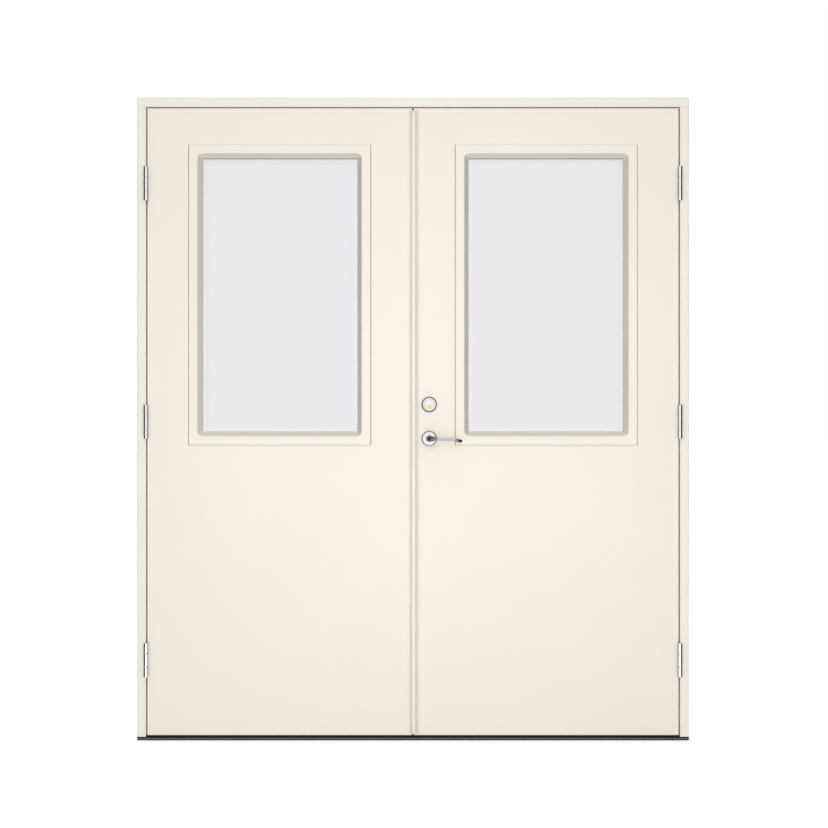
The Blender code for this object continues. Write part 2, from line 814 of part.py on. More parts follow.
def cylinder(panel):
    """The lock cylinder: a conical collar, the body in its bore and the brass plug low in it."""
    place = on_leaf(-1, CYLINDER_HEIGHT)
    inside = CYLINDER_RADIUS + SEAT
    collar_profile = [
        (inside, COLLAR_HEIGHT),
        (COLLAR_TOP_RADIUS, COLLAR_HEIGHT),
        (COLLAR_RADIUS, SEAT),
        (COLLAR_RADIUS, 0),
        (inside, 0),
    ]
    collar = turned("cylinder_collar", collar_profile, place, -1, CHROME)
    body_profile = [
        (0, CYLINDER_HEAD),
        (CYLINDER_RADIUS - CYLINDER_ARRIS, CYLINDER_HEAD),
        (CYLINDER_RADIUS, CYLINDER_HEAD - CYLINDER_ARRIS),
        (CYLINDER_RADIUS, -CYLINDER_DEPTH),
        (0, -CYLINDER_DEPTH),
    ]
    body = turned("cylinder_body", body_profile, place, -1, CHROME, closed=False)
    face_y = place[1] - CYLINDER_HEAD
    centre = (LEVER_X, CYLINDER_HEIGHT - PLUG_DROP)
    plug_hole = rod(
        "plug_hole", PLUG_RADIUS + SEAT, face_y - OVERSHOOT, face_y + PLUG_DEPTH + SEAT, centre, "y"
    )
    cut(body, plug_hole)
    plug = rod(
        "cylinder_plug", PLUG_RADIUS, face_y - PLUG_PROUD, face_y + PLUG_DEPTH, centre, "y", BRASS
    )
    keyway = block(
        "keyway",
        (centre[0] - KEYWAY[0] / 2, face_y - OVERSHOOT, centre[1] - KEYWAY[1] / 2),
        (centre[0] + KEYWAY[0] / 2, face_y + KEYWAY[2], centre[1] + KEYWAY[1] / 2),
    )
    cut(plug, keyway)
    bore = rod(
        "cylinder_bore",
        CYLINDER_RADIUS + SEAT,
        FRONT - OVERSHOOT,
        FRONT + CYLINDER_DEPTH + SEAT,
        (LEVER_X, CYLINDER_HEIGHT),
        "y",
    )
    cut(panel, bore)
    return [collar, body, plug, plug_hole, keyway, bore]


def thumb_turn():
    """The knob that locks from inside: a rosette with an upright wing."""
    place = on_leaf(1, CYLINDER_HEIGHT)
    profile = [
        (0, ROSETTE_HEIGHT),
        (ROSETTE_RADIUS - ROSETTE_ARRIS, ROSETTE_HEIGHT),
        (ROSETTE_RADIUS, ROSETTE_HEIGHT - ROSETTE_ARRIS),
        (ROSETTE_RADIUS, 0),
        (0, 0),
    ]
    base = turned("thumb_turn", profile, place, 1, CHROME, closed=False)
    width, depth, height = TURN_SIZE
    wing = block(
        "thumb_turn_wing",
        (LEVER_X - width / 2, place[1] + ROSETTE_HEIGHT / 2, CYLINDER_HEIGHT - height / 2),
        (LEVER_X + width / 2, place[1] + ROSETTE_HEIGHT + depth, CYLINDER_HEIGHT + height / 2),
    )
    rounded(wing, TURN_ARRIS)
    join(base, wing)
    return [base, wing]


def lever_line():
    """Points (along the leaf, away from it, up) of a lever's centre line, with its radius at each."""
    tip = LEVER_REACH - LEVER_RADIUS
    line = [(0, RUNNING, 0, NECK_RADIUS)]
    for step in range(BEND_STEPS + 1):
        angle = math.pi / 2 * step / BEND_STEPS
        taper = 1 - math.cos(angle)
        line.append((
            LEVER_BEND * taper,
            LEVER_STAND_OFF - LEVER_BEND * (1 - math.sin(angle)),
            0,
            NECK_RADIUS - (NECK_RADIUS - LEVER_RADIUS) * taper,
        ))
    line.append((LEVER_STRAIGHT, LEVER_STAND_OFF, 0, LEVER_RADIUS))
    run = tip - LEVER_STRAIGHT
    for step in range(BEND_STEPS + 1):
        angle = math.pi / 2 * step / BEND_STEPS
        along = tip - LEVER_TIP_BEND * (1 - math.sin(angle))
        fall = (1 - math.cos(math.pi * (along - LEVER_STRAIGHT) / run)) / 2
        away = LEVER_STAND_OFF - LEVER_TIP_BEND * (1 - math.cos(angle))
        line.append((along, away, -LEVER_DROP * fall, LEVER_RADIUS))
    end = LEVER_STAND_OFF - LEVER_RETURN
    line.append((tip, end + LEVER_TIP, -LEVER_DROP, LEVER_RADIUS))
    line.append((tip, end, -LEVER_DROP, LEVER_RADIUS * 0.6))
    return line


def lever(name, face):
    """A tapering bar: out of the rosette, round along the leaf, down a little and back at its tip."""
    path = lever_line()
    curve = bpy.data.curves.new(name, "CURVE")
    curve.dimensions = "3D"
    curve.bevel_depth = 1
    curve.bevel_resolution = 6
    curve.use_fill_caps = True
    spline = curve.splines.new("POLY")
    spline.points.add(len(path) - 1)
    origin = on_leaf(face, LEVER_HEIGHT)
    for point, (along, away, up, radius) in zip(spline.points, path):
        point.co = (origin[0] + along, origin[1] + face * away, origin[2] + up, 1)
        point.radius = radius
    guide = bpy.data.objects.new(name, curve)
    CUTTERS.objects.link(guide)
    mesh = mesh_of(guide, name)
    mesh.transform(Matrix.Translation((-origin[0], -LEAF_MIDDLE, -origin[2])))
    smooth(mesh)
    piece = add(name, mesh, CHROME)
    piece.location = (origin[0], LEAF_MIDDLE, origin[2])
    return piece


def handle(panel):
    """Both levers turn on one square spindle through the leaf."""
    outer = lever("outer_lever", -1)
    inner = lever("inner_lever", 1)
    half = SPINDLE_SIDE / 2
    outer_neck = LEAF_MIDDLE - LEAF_THICKNESS / 2 - ROSETTE_HEIGHT
    inner_neck = LEAF_BACK + SEAT + RUNNING
    spindle = block(
        "spindle",
        (LEVER_X - half, outer_neck, LEVER_HEIGHT - half),
        (LEVER_X + half, inner_neck + SOCKET_DEPTH - SEAT, LEVER_HEIGHT + half),
    )
    join(outer, spindle)
    socket = block(
        "spindle_socket",
        (LEVER_X - half - SEAT, LEAF_BACK - OVERSHOOT, LEVER_HEIGHT - half - SEAT),
        (LEVER_X + half + SEAT, inner_neck + SOCKET_DEPTH, LEVER_HEIGHT + half + SEAT),
    )
    cut(inner, socket)
    bore = rod(
        "spindle_bore",
        SPINDLE_BORE_RADIUS,
        FRONT - OVERSHOOT,
        LEAF_BACK + OVERSHOOT,
        (LEVER_X, LEVER_HEIGHT),
        "y",
    )
    cut(panel, bore)
    return [outer, inner, spindle, socket], [bore]


def build():
    jambs = frame_pieces()
    left_panel, left_opening = slab("left", -1)
    right_panel, right_opening = slab("right", 1)
    left_strip, right_strip, meeting_seal = meeting_strips()
    left = [left_panel, left_opening, left_strip, *window("left", -1)]
    right = [right_panel, right_opening, right_strip, meeting_seal, *window("right", 1)]
    left += hinges("left", -1, jambs["left"], left_panel)
    right += hinges("right", 1, jambs["right"], right_panel)
    left += strike(left_panel) + flush_bolts(left_panel)
    right += lock(right_panel) + cylinder(right_panel) + thumb_turn()
    right += [rosette("outer_rosette", -1), rosette("inner_rosette", 1)]
    turning, lever_bore = handle(right_panel)
    right += lever_bore
    left_axis = pivot("left_leaf_axis", (-AXIS_X, AXIS_Y, 0))
    right_axis = pivot("right_leaf_axis", (AXIS_X, AXIS_Y, 0))
    attach(left_axis, left)
    attach(right_axis, right)
    lever_axis = pivot("lever_axis", (LEVER_X, LEAF_MIDDLE, LEVER_HEIGHT), right_axis)
    attach(lever_axis, turning)


build()
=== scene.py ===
import json
import math

import bmesh
import bpy
from mathutils import Matrix, Vector


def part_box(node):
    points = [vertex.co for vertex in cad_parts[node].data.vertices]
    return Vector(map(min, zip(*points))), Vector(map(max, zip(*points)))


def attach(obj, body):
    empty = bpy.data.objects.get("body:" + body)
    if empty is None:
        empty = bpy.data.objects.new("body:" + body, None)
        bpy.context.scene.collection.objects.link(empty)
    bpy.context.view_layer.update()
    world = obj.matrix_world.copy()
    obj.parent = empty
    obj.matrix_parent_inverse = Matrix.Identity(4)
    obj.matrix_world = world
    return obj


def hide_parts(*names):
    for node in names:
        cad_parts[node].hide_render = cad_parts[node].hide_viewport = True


# Double exterior door: paint, glass, seals, hinges, lock furniture, studio.
# X runs to the right seen from outside, Y into the building, Z up. Metres.

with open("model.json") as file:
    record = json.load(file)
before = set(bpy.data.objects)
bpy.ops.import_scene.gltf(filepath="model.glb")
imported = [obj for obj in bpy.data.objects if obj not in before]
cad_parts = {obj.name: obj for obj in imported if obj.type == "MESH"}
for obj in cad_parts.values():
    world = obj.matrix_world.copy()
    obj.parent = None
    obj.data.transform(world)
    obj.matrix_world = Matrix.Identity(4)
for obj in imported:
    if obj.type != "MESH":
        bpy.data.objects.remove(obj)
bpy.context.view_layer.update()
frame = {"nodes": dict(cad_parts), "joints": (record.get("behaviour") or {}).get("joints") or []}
nodes = frame["nodes"]
joints = {joint["name"]: joint for joint in frame["joints"]}
sides = {"left": -1, "right": 1}
faces = {"outer": -1, "inner": 1}


def middleOf(node):
    low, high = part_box(node)
    return (low + high) / 2


# Shader maths: a Wire is one output socket, and sums of wires and numbers make their own nodes
class Wire:
    def __init__(self, graph, socket):
        self.graph = graph
        self.socket = socket

    def __add__(self, other):
        return self.graph.maths("ADD", self, other)

    def __radd__(self, other):
        return self.graph.maths("ADD", other, self)

    def __sub__(self, other):
        return self.graph.maths("SUBTRACT", self, other)

    def __rsub__(self, other):
        return self.graph.maths("SUBTRACT", other, self)

    def __mul__(self, other):
        return self.graph.maths("MULTIPLY", self, other)

    def __rmul__(self, other):
        return self.graph.maths("MULTIPLY", other, self)

    def __pow__(self, other):
        return self.graph.maths("POWER", self, other)

    def __abs__(self):
        return self.graph.maths("ABSOLUTE", self, 0.0)


class Graph:
    def __init__(self, tree):
        self.tree = tree

    def node(self, kind, settings=None, inputs=None, output=0):
        made = self.tree.nodes.new(kind)
        for name, value in (settings or {}).items():
            setattr(made, name, value)
        for name, value in (inputs or {}).items():
            self.feed(made.inputs[name], value)
        return Wire(self, made.outputs[output])

    def feed(self, socket, value):
        if isinstance(value, Wire):
            self.tree.links.new(value.socket, socket)
        else:
            socket.default_value = value

    def maths(self, operation, first, second):
        return self.node("ShaderNodeMath", {"operation": operation}, {0: first, 1: second})

    def blend(self, factor, first, second):
        return self.node("ShaderNodeMix", {"data_type": "RGBA"}, {0: factor, 6: first, 7: second}, 2)

    def fade(self, value, start, end):
        # 0 below start, 1 past end and smooth between them
        return self.node("ShaderNodeMapRange", {"interpolation_type": "SMOOTHSTEP"}, {
            "Value": value, "From Min": start, "From Max": end,
        })

    def place(self, stretch=(1, 1, 1)):
        spot = self.node("ShaderNodeTexCoord", output="Object")
        if stretch == (1, 1, 1):
            return spot
        return self.node("ShaderNodeMapping", inputs={"Vector": spot, "Scale": stretch})

    def apart(self, vector):
        split = self.node("ShaderNodeSeparateXYZ", inputs={"Vector": vector}).socket.node
        return [Wire(self, socket) for socket in split.outputs]

    def noise(self, place, scale, detail=2.0, roughness=0.5):
        return self.node("ShaderNodeTexNoise", inputs={
            "Vector": place, "Scale": scale, "Detail": detail, "Roughness": roughness,
        })

    def bump(self, height, distance, strength=1.0):
        return self.node("ShaderNodeBump", inputs={
            "Height": height, "Distance": distance, "Strength": strength,
        })


def srgb(red, green, blue):
    # levels of 255 as the linear colour that Blender takes, by the sRGB curve
    parts = [level / 255 for level in (red, green, blue)]
    return [part / 12.92 if part <= 0.04045 else ((part + 0.055) / 1.055) ** 2.4 for part in parts] + [1]


def newFinish(name, constants):
    finish = bpy.data.materials.new(name)
    finish.use_nodes = True
    surface = finish.node_tree.nodes["Principled BSDF"]
    for socket, value in constants.items():
        surface.inputs[socket].default_value = value
    return finish, Graph(finish.node_tree), surface.inputs


# Enamel sprayed on the leaves and what is on them
enamel = {
    "index": 1.48,
    "cloudScale": 2.3,
    "cloudDetail": 3.0,
    "cloudGloss": 0.08,      # how far the clouds and the peel change the roughness
    "peelGloss": 0.04,
}
leafPaint = {
    **enamel,
    "colour": srgb(248, 241, 232),
    "deeper": srgb(244, 236, 226),
    "roughness": 0.42,
    "peelScale": 420.0,
    "peelDepth": 0.00003,
}
# the trims' shaded colour is painted shade on their edge slopes
trimPaint = {**leafPaint, "shaded": srgb(170, 165, 158)}
# the strips' shaded colour is painted shade in their hollows
stripPaint = {**leafPaint, "shaded": srgb(216, 211, 203)}
beadPaint = {
    **enamel,
    # the beads carry the leaves' paint, made darker here as painted shade for their sloping faces
    "colour": srgb(221, 216, 208),
    "deeper": srgb(215, 210, 201),
    # painted shade on the beads' uprights
    "shaded": srgb(202, 197, 190),
    # a painted shadow along the foot of the beads' top members
    "line": srgb(158, 154, 148),
    "roughness": 0.5,
    "peelScale": 700.0,
    "peelDepth": 0.00002,
}


def sprayedPaint(name, look, shade=None, line=None):
    # sprayed enamel: broad, faint clouds of colour and a fine orange-peel surface, with painted shade and a
    # painted shadow line where they are given
    finish, graph, inputs = newFinish(name, {"IOR": look["index"]})
    cloud = graph.noise(graph.place(), look["cloudScale"], look["cloudDetail"])
    peel = graph.noise(graph.place(), look["peelScale"], 1.0)
    colour = graph.blend(cloud, look["colour"], look["deeper"])
    # painted shade over the paint's own colour
    if shade:
        colour = graph.blend(shade(graph), colour, look["shaded"])
    # a painted shadow line
    if line:
        colour = graph.blend(line(graph), colour, look["line"])
    graph.feed(inputs["Base Color"], colour)
    spread = look["cloudGloss"] * (cloud - 0.5) + look["peelGloss"] * (peel - 0.5)
    graph.feed(inputs["Roughness"], look["roughness"] + spread)
    graph.feed(inputs["Normal"], graph.bump(peel, look["peelDepth"]))
    return finish


def onWindow(graph, node):
    # how far out and up from a window's middle a point is, in either leaf, and the node's half size
    low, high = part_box(node)
    centre = (low + high) / 2
    x, y, z = graph.apart(graph.place())
    return abs(x) - centre.x, z - centre.z, (high - low) / 2


# Window trims get painted shade on the slope at their sides, and a little along the bottom
trimEdge = {
    "start": 0.0040,         # in from the outer edge
    "end": 0.0030,
    "innerShare": 0.72,
    "bottomShare": 0.26,
}


def trimSlopeShade(graph):
    outward, up, half = onWindow(graph, "right_outer_window_trim")
    outer, inner, bottom = (
        graph.fade(distance, reach - trimEdge["start"], reach - trimEdge["end"])
        for distance, reach in ((outward, half.x), (0 - outward, half.x), (0 - up, half.z))
    )
    lesser = graph.maths("MAXIMUM", trimEdge["innerShare"] * inner, trimEdge["bottomShare"] * bottom)
    return graph.maths("MAXIMUM", outer, lesser)


# Glazing beads get painted shade on their uprights, most of all on the inner ones, up to the mitres
beadShade = {
    "mitre": 0.0004,
    "outerShare": 0.45,
    "middle": 0.01,          # the outer share takes over this near to the window's middle
}


def beadUprightShade(graph):
    outward, up, half = onWindow(graph, "right_outer_glazing_bead")
    past = (abs(outward) - half.x) - (abs(up) - half.z)
    outer = graph.fade(outward, -beadShade["middle"], beadShade["middle"])
    share = 1 - (1 - beadShade["outerShare"]) * outer
    return share * graph.fade(past, -beadShade["mitre"], beadShade["mitre"])


# and a painted shadow line lies along the foot of their top members, between these distances from the outer
# edge
beadShadowLine = {"start": 0.0119, "end": 0.0141, "ease": 0.0003}


def beadTopShadow(graph):
    outward, up, half = onWindow(graph, "right_outer_glazing_bead")
    down = half.z - up
    aside = half.x - abs(outward)
    ease = beadShadowLine["ease"]
    begun = graph.fade(down, beadShadowLine["start"] - ease, beadShadowLine["start"] + ease)
    ended = graph.fade(down, beadShadowLine["end"] - ease, beadShadowLine["end"] + ease)
    return begun * (1 - ended) * graph.fade(aside - down, -ease, ease)


# Cover strips over the meeting of the leaves: a web between lips, hollow in front
strips = {
    "web": 0.0010,
    "lip": 0.0024,
    "ridge": 0.0083,      # from the right strip's left edge to the end of its ridge
    "round": 0.00035,
    "steps": 18,
    "shadeStart": 0.0006,    # behind the front of the strips
    "shadeEnd": 0.0022,
    "shadeEase": 0.0002,
}


# 1 in the strips' hollows, where shade is painted into their paint
def stripHollowShade(graph):
    leftLow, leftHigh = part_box("left_meeting_strip")
    rightLow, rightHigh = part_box("right_meeting_strip")
    x, y, z = graph.apart(graph.place())
    within = 0.0
    ease = strips["shadeEase"]
    for start, end in (
        (leftLow.x + strips["lip"], leftHigh.x),
        (rightLow.x + strips["ridge"], rightHigh.x - strips["lip"]),
    ):
        within = within + graph.fade(x, start - ease, start) * (1 - graph.fade(x, end, end + ease))
    return within * graph.fade(y, leftLow.y + strips["shadeStart"], leftLow.y + strips["shadeEnd"])


# Paint brushed on the planed wood of the frame
framePaint = {
    "colour": srgb(248, 243, 234),
    "deeper": srgb(241, 236, 226),
    "index": 1.48,
    "roughness": 0.48,
    "cloudScale": 3.1,
    "cloudDetail": 3.0,
    "cloudShare": 0.6,
    "grainDetail": 5.0,
    "grainRoughness": 0.62,
    "grainShare": 0.3,
    "grainGloss": 0.12,
    "grainDepth": 0.00006,
    "grainStrength": 0.8,
}
# the head's paint is the frame paint set a touch lighter, as painted light on the head
headPaint = {**framePaint, "colour": srgb(248, 243, 235), "deeper": srgb(242, 237, 228)}
uprightGrain = (260, 260, 9)
levelGrain = (9, 260, 260)


def brushedPaint(name, look, stretch):
    # the grain telegraphs through along the length of each member
    finish, graph, inputs = newFinish(name, {"IOR": look["index"]})
    cloud = graph.noise(graph.place(), look["cloudScale"], look["cloudDetail"])
    grain = graph.noise(graph.place(stretch), 1.0, look["grainDetail"], look["grainRoughness"])
    depth = look["cloudShare"] * cloud + look["grainShare"] * grain
    graph.feed(inputs["Base Color"], graph.blend(depth, look["colour"], look["deeper"]))
    graph.feed(inputs["Roughness"], look["roughness"] + look["grainGloss"] * (grain - 0.5))
    graph.feed(inputs["Normal"], graph.bump(grain, look["grainDepth"], look["grainStrength"]))
    return finish


# Lever handles: a tapering round bar out of each rosette, along the leaf and back at its tip
lever = {
    "reach": 0.1055,
    "standOff": 0.050,
    "neck": 0.0105,
    "bar": 0.0052,
    "drop": 0.007,
    "return": 0.024,
    "bend": 0.020,           # centre-line radius where the neck turns into the bar
    "tipBend": 0.012,
    "straight": 0.070,       # along the bar before it drops
    "bendSteps": 14,
    "dropSteps": 10,
    "sides": 40,
    "sharpest": 50,          # degrees at which two faces no longer shade as one
    "collarGap": 0.0005,
    "rootRound": 0.0006,
    "tipRound": 0.55,        # of the bar's radius
    "tipSteps": 5,
    "grubRadius": 0.0022,
    "grubProud": 0.0004,
    "grubSink": 0.0002,
    "grubPlace": 0.015,      # off the leaf
    # shadeStart and shadeEnd place the painted shade under the bar
    "shadeStart": 0.0004,    # under the bar's middle
    "shadeEnd": 0.0026,
}


def barUndersideShade(graph, along, up):
    # 1 on the underside of the bar, which drops towards its tip: where shade is painted
    drop = lever["drop"] * graph.fade(along, lever["straight"], lever["reach"] - lever["bar"])
    return graph.fade(0 - (up + drop), lever["shadeStart"], lever["shadeEnd"])


# Polished metals. A tone comes in between two distances from the piece's axis and stays from there on:
# round the axis, or along the leaf where the metal is the lever's. The tones are painted reflections, and a
# last colour is painted shade for a bar's underside.
metals = {
    "leverChrome": {
        # the lever's chrome is painted dark reflection at the neck and tip, and darker than the rosettes'
        # chrome on the bar
        "colour": (0.145, 0.141, 0.136, 1),
        "roughness": 0.12,
        "axis": "outer_rosette",
        "alongBar": True,
        "tones": [
            (0.010, 0.017, (0.21, 0.205, 0.20, 1)),
            (0.021, 0.030, (0.62, 0.61, 0.58, 1), (0.34, 0.33, 0.305, 1)),
            (0.076, 0.092, (0.16, 0.155, 0.15, 1)),
            (0.091, 0.098, (0.02, 0.02, 0.02, 1)),
        ],
    },
    "rosetteChrome": {
        "colour": (0.93, 0.93, 0.94, 1),
        "roughness": 0.13,
        "axis": "outer_rosette",
        # painted dark reflection on the rosette's rounded edge
        "tones": [(0.0211, 0.0219, (0.20, 0.197, 0.193, 1))],
    },
    "collarChrome": {
        "colour": (0.93, 0.92, 0.93, 1),
        "roughness": 0.16,
        "axis": "cylinder_collar",
        # painted dark reflection on the collar's sloping rim
        "tones": [(0.0200, 0.0209, (0.13, 0.122, 0.105, 1))],
    },
    "turnChrome": {"colour": (0.90, 0.90, 0.91, 1), "roughness": 0.13},
    "cylinderChrome": {"colour": (0.90, 0.87, 0.95, 1), "roughness": 0.18},
    "brass": {"colour": (0.84, 0.90, 0.18, 1), "roughness": 0.22},
    "zinc": {"colour": (0.70, 0.70, 0.69, 1), "roughness": 0.30},
}
# What hands leave on all of them, and fine specks in the polish
polish = {
    "smearStretch": (1, 1, 2.4),
    "smearScale": 55.0,
    "smearDetail": 4.0,
    "smearRoughness": 0.6,
    "smearColour": (0.4, 0.39, 0.38, 1),
    "smearShare": 0.06,
    "smearGloss": 0.06,
    "speckScale": 900.0,
    "speckGloss": 0.03,
    "speckDepth": 0.000008,
}


def tonedMetal(graph, look):
    centre = middleOf(look["axis"])
    x, y, z = graph.apart(graph.place())
    across, up = x - centre.x, z - centre.z
    distance = across if look.get("alongBar") else (across * across + up * up) ** 0.5
    colour = look["colour"]
    for start, end, tone, *underTone in look["tones"]:
        reached = graph.fade(distance, start, end)
        colour = graph.blend(reached, colour, tone)
        if underTone:
            colour = graph.blend(reached * barUndersideShade(graph, across, up), colour, *underTone)
    return colour


def polishedMetal(name, look):
    finish, graph, inputs = newFinish(name, {"Metallic": 1.0})
    smear = graph.noise(
        graph.place(polish["smearStretch"]),
        polish["smearScale"],
        polish["smearDetail"],
        polish["smearRoughness"],
    )
    speck = graph.noise(graph.place(), polish["speckScale"], 1.0)
    colour = tonedMetal(graph, look) if "tones" in look else look["colour"]
    handled = graph.blend(polish["smearShare"] * smear, colour, polish["smearColour"])
    graph.feed(inputs["Base Color"], handled)
    spread = polish["smearGloss"] * (smear - 0.5) + polish["speckGloss"] * (speck - 0.5)
    graph.feed(inputs["Roughness"], look["roughness"] + spread)
    graph.feed(inputs["Normal"], graph.bump(speck, polish["speckDepth"]))
    return finish


# Drawn or rolled metals, with fine lines along one axis
drawnMetals = {
    "hingeSteel": {
        "colour": (0.99, 0.99, 0.99, 1), "deeper": (0.95, 0.95, 0.95, 1),
        "roughness": 0.14, "stretch": (900, 900, 30), "depth": 0.000004,
        # the steel is greyer inwards of the pin: a painted reflection of the leaf, from these distances in
        # from the pin
        "leafSideReflection": (0.52, 0.52, 0.53, 1), "sideStart": 0.0036, "sideEnd": 0.0046,  # in from the pin
    },
    "plateSteel": {
        "colour": (0.66, 0.65, 0.64, 1), "deeper": (0.52, 0.51, 0.50, 1),
        "roughness": 0.34, "stretch": (1100, 1100, 24), "depth": 0.00002,
    },
    "sillMetal": {
        "colour": (0.175, 0.165, 0.15, 1), "deeper": (0.135, 0.125, 0.115, 1),
        "roughness": 0.42, "stretch": (14, 900, 900), "depth": 0.00003,
        # painted shade on the sill's slope and top, and darker painted shade on its foot
        "topShade": (0.052, 0.049, 0.044, 1), "lip": 0.0078,  # where it slopes back above this height
        "foot": (0.009, 0.0085, 0.008, 1), "footTop": 0.0048,
    },
    # a black stop, made darker still as painted shade in the gap under the leaves
    "stopMetal": {
        "colour": (0.005, 0.005, 0.005, 1), "deeper": (0.003, 0.003, 0.003, 1),
        "roughness": 0.50, "stretch": (14, 900, 900), "depth": 0.00003,
    },
}
# Their drawing lines, and the smears over them
drawing = {
    "lineDetail": 3.0,
    "lineRoughness": 0.7,
    "lineGloss": 0.14,
    "lineStrength": 0.7,
    "smearScale": 18.0,
    "smearDetail": 3.0,
    "smearGloss": 0.08,
    "sillEase": 0.0008,
}


def drawnMetal(name, look):
    finish, graph, inputs = newFinish(name, {"Metallic": 1.0})
    lines = graph.noise(graph.place(look["stretch"]), 1.0, drawing["lineDetail"], drawing["lineRoughness"])
    smear = graph.noise(graph.place(), drawing["smearScale"], drawing["smearDetail"])
    colour = graph.blend(lines, look["colour"], look["deeper"])
    # painted shade: darker on the slope and top, darker still on the foot
    if "topShade" in look:
        x, y, z = graph.apart(graph.place())
        sloping = graph.fade(z, look["lip"], look["lip"] + drawing["sillEase"])
        standing = graph.fade(z, look["footTop"], look["footTop"] - drawing["sillEase"])
        colour = graph.blend(sloping, colour, look["topShade"])
        colour = graph.blend(standing, colour, look["foot"])
    # painted reflection of the leaf on the knuckle's inner side
    if "leafSideReflection" in look:
        x, y, z = graph.apart(graph.place())
        inward = joints["right_leaf_hinge"]["pos_m"][0] - abs(x)
        inside = graph.fade(inward, look["sideStart"], look["sideEnd"])
        colour = graph.blend(inside, colour, look["leafSideReflection"])
    graph.feed(inputs["Base Color"], colour)
    spread = drawing["lineGloss"] * (lines - 0.5) + drawing["smearGloss"] * (smear - 0.5)
    graph.feed(inputs["Roughness"], look["roughness"] + spread)
    graph.feed(inputs["Normal"], graph.bump(lines, look["depth"], drawing["lineStrength"]))
    return finish


rubber = {
    "index": 1.45,
    "specular": 0.2,
    "roughness": 0.62,
    "mottleScale": 160.0,
    "mottleDetail": 3.0,
    "mottleGloss": 0.2,
    "fineScale": 1300.0,
    "fineDepth": 0.00004,
    "fineStrength": 0.6,
}


def sealRubber(name, colour, deeper):
    shine = {"IOR": rubber["index"], "Specular IOR Level": rubber["specular"]}
    finish, graph, inputs = newFinish(name, shine)
    mottle = graph.noise(graph.place(), rubber["mottleScale"], rubber["mottleDetail"])
    fine = graph.noise(graph.place(), rubber["fineScale"], 1.0)
    graph.feed(inputs["Base Color"], graph.blend(mottle, colour, deeper))
    graph.feed(inputs["Roughness"], rubber["roughness"] + rubber["mottleGloss"] * (mottle - 0.5))
    graph.feed(inputs["Normal"], graph.bump(fine, rubber["fineDepth"], rubber["fineStrength"]))
    return finish


glass = {
    "colour": srgb(245, 245, 246),
    "dusty": srgb(243, 243, 244),
    "index": 1.45,
    "filmScale": 4.0,
    "filmDetail": 4.0,
    "filmRoughness": 0.6,
    "lampShare": 0.88,       # of the lamplight that passes straight through
}


def clearGlass(name):
    # a faint film of dust lies on the panes in broad patches
    constants = {"Transmission Weight": 1.0, "IOR": glass["index"], "Roughness": 0.0}
    finish, graph, inputs = newFinish(name, constants)
    film = graph.noise(graph.place(), glass["filmScale"], glass["filmDetail"], glass["filmRoughness"])
    graph.feed(inputs["Base Color"], graph.blend(film, glass["colour"], glass["dusty"]))
    rays = [graph.node("ShaderNodeLightPath", output=ray) for ray in ("Is Shadow Ray", "Is Diffuse Ray")]
    graph.feed(inputs["Alpha"], 1 - glass["lampShare"] * graph.maths("MAXIMUM", *rays))
    return finish


finishes = {
    "leafPaint": sprayedPaint("leaf_paint", leafPaint),
    "trimPaint": sprayedPaint("trim_paint", trimPaint, trimSlopeShade),
    "stripPaint": sprayedPaint("strip_paint", stripPaint, stripHollowShade),
    "beadPaint": sprayedPaint("bead_paint", beadPaint, beadUprightShade, beadTopShadow),
    "jambPaint": brushedPaint("jamb_paint", framePaint, uprightGrain),
    "headPaint": brushedPaint("head_paint", headPaint, levelGrain),
    "sealBlack": sealRubber("seal_black", srgb(20, 20, 19), srgb(12, 12, 12)),
    "gasketWhite": sealRubber("gasket_white", srgb(239, 239, 241), srgb(235, 235, 237)),
    "spacerWhite": sealRubber("spacer_white", srgb(246, 246, 246), srgb(241, 241, 241)),
    "glass": clearGlass("clear_glass"),
}
for metal, look in metals.items():
    finishes[metal] = polishedMetal(metal, look)
for metal, look in drawnMetals.items():
    finishes[metal] = drawnMetal(metal, look)
print("finishes made:", len(finishes))


# Shape helpers: each adds to a bmesh and leaves what is already in it alone. Edges and faces are listed once
# each, in the order of their vertices.
def edgesOf(verts):
    return list(dict.fromkeys(edge for vert in verts for edge in vert.link_edges))


def facesOf(verts):
    return list(dict.fromkeys(face for vert in verts for face in vert.link_faces))


def addedTo(shape, before):
    return [vert for vert in shape.verts if vert not in before]


def soften(shape, edges, width, segments=2):
    bmesh.ops.bevel(
        shape, geom=edges, offset=width, segments=segments,
        affect="EDGES", profile=0.5, material=-1, clamp_overlap=True,
    )


def sharpEdges(verts, degrees=50):
    return [edge for edge in edgesOf(verts) if edge.calc_face_angle(0) > math.radians(degrees)]


def turnTo(direction):
    return Vector((0, 0, 1)).rotation_difference(Vector(direction)).to_matrix().to_4x4()


def addBlock(shape, low, high, rounding=0.0, segments=2, matrix=None):
    before = set(shape.verts)
    verts = bmesh.ops.create_cube(shape, size=1)["verts"]
    bmesh.ops.scale(shape, vec=Vector(high) - Vector(low), verts=verts)
    bmesh.ops.translate(shape, vec=(Vector(high) + Vector(low)) / 2, verts=verts)
    if rounding:
        soften(shape, edgesOf(verts), rounding, segments)
    if matrix:
        bmesh.ops.transform(shape, matrix=matrix, verts=addedTo(shape, before))


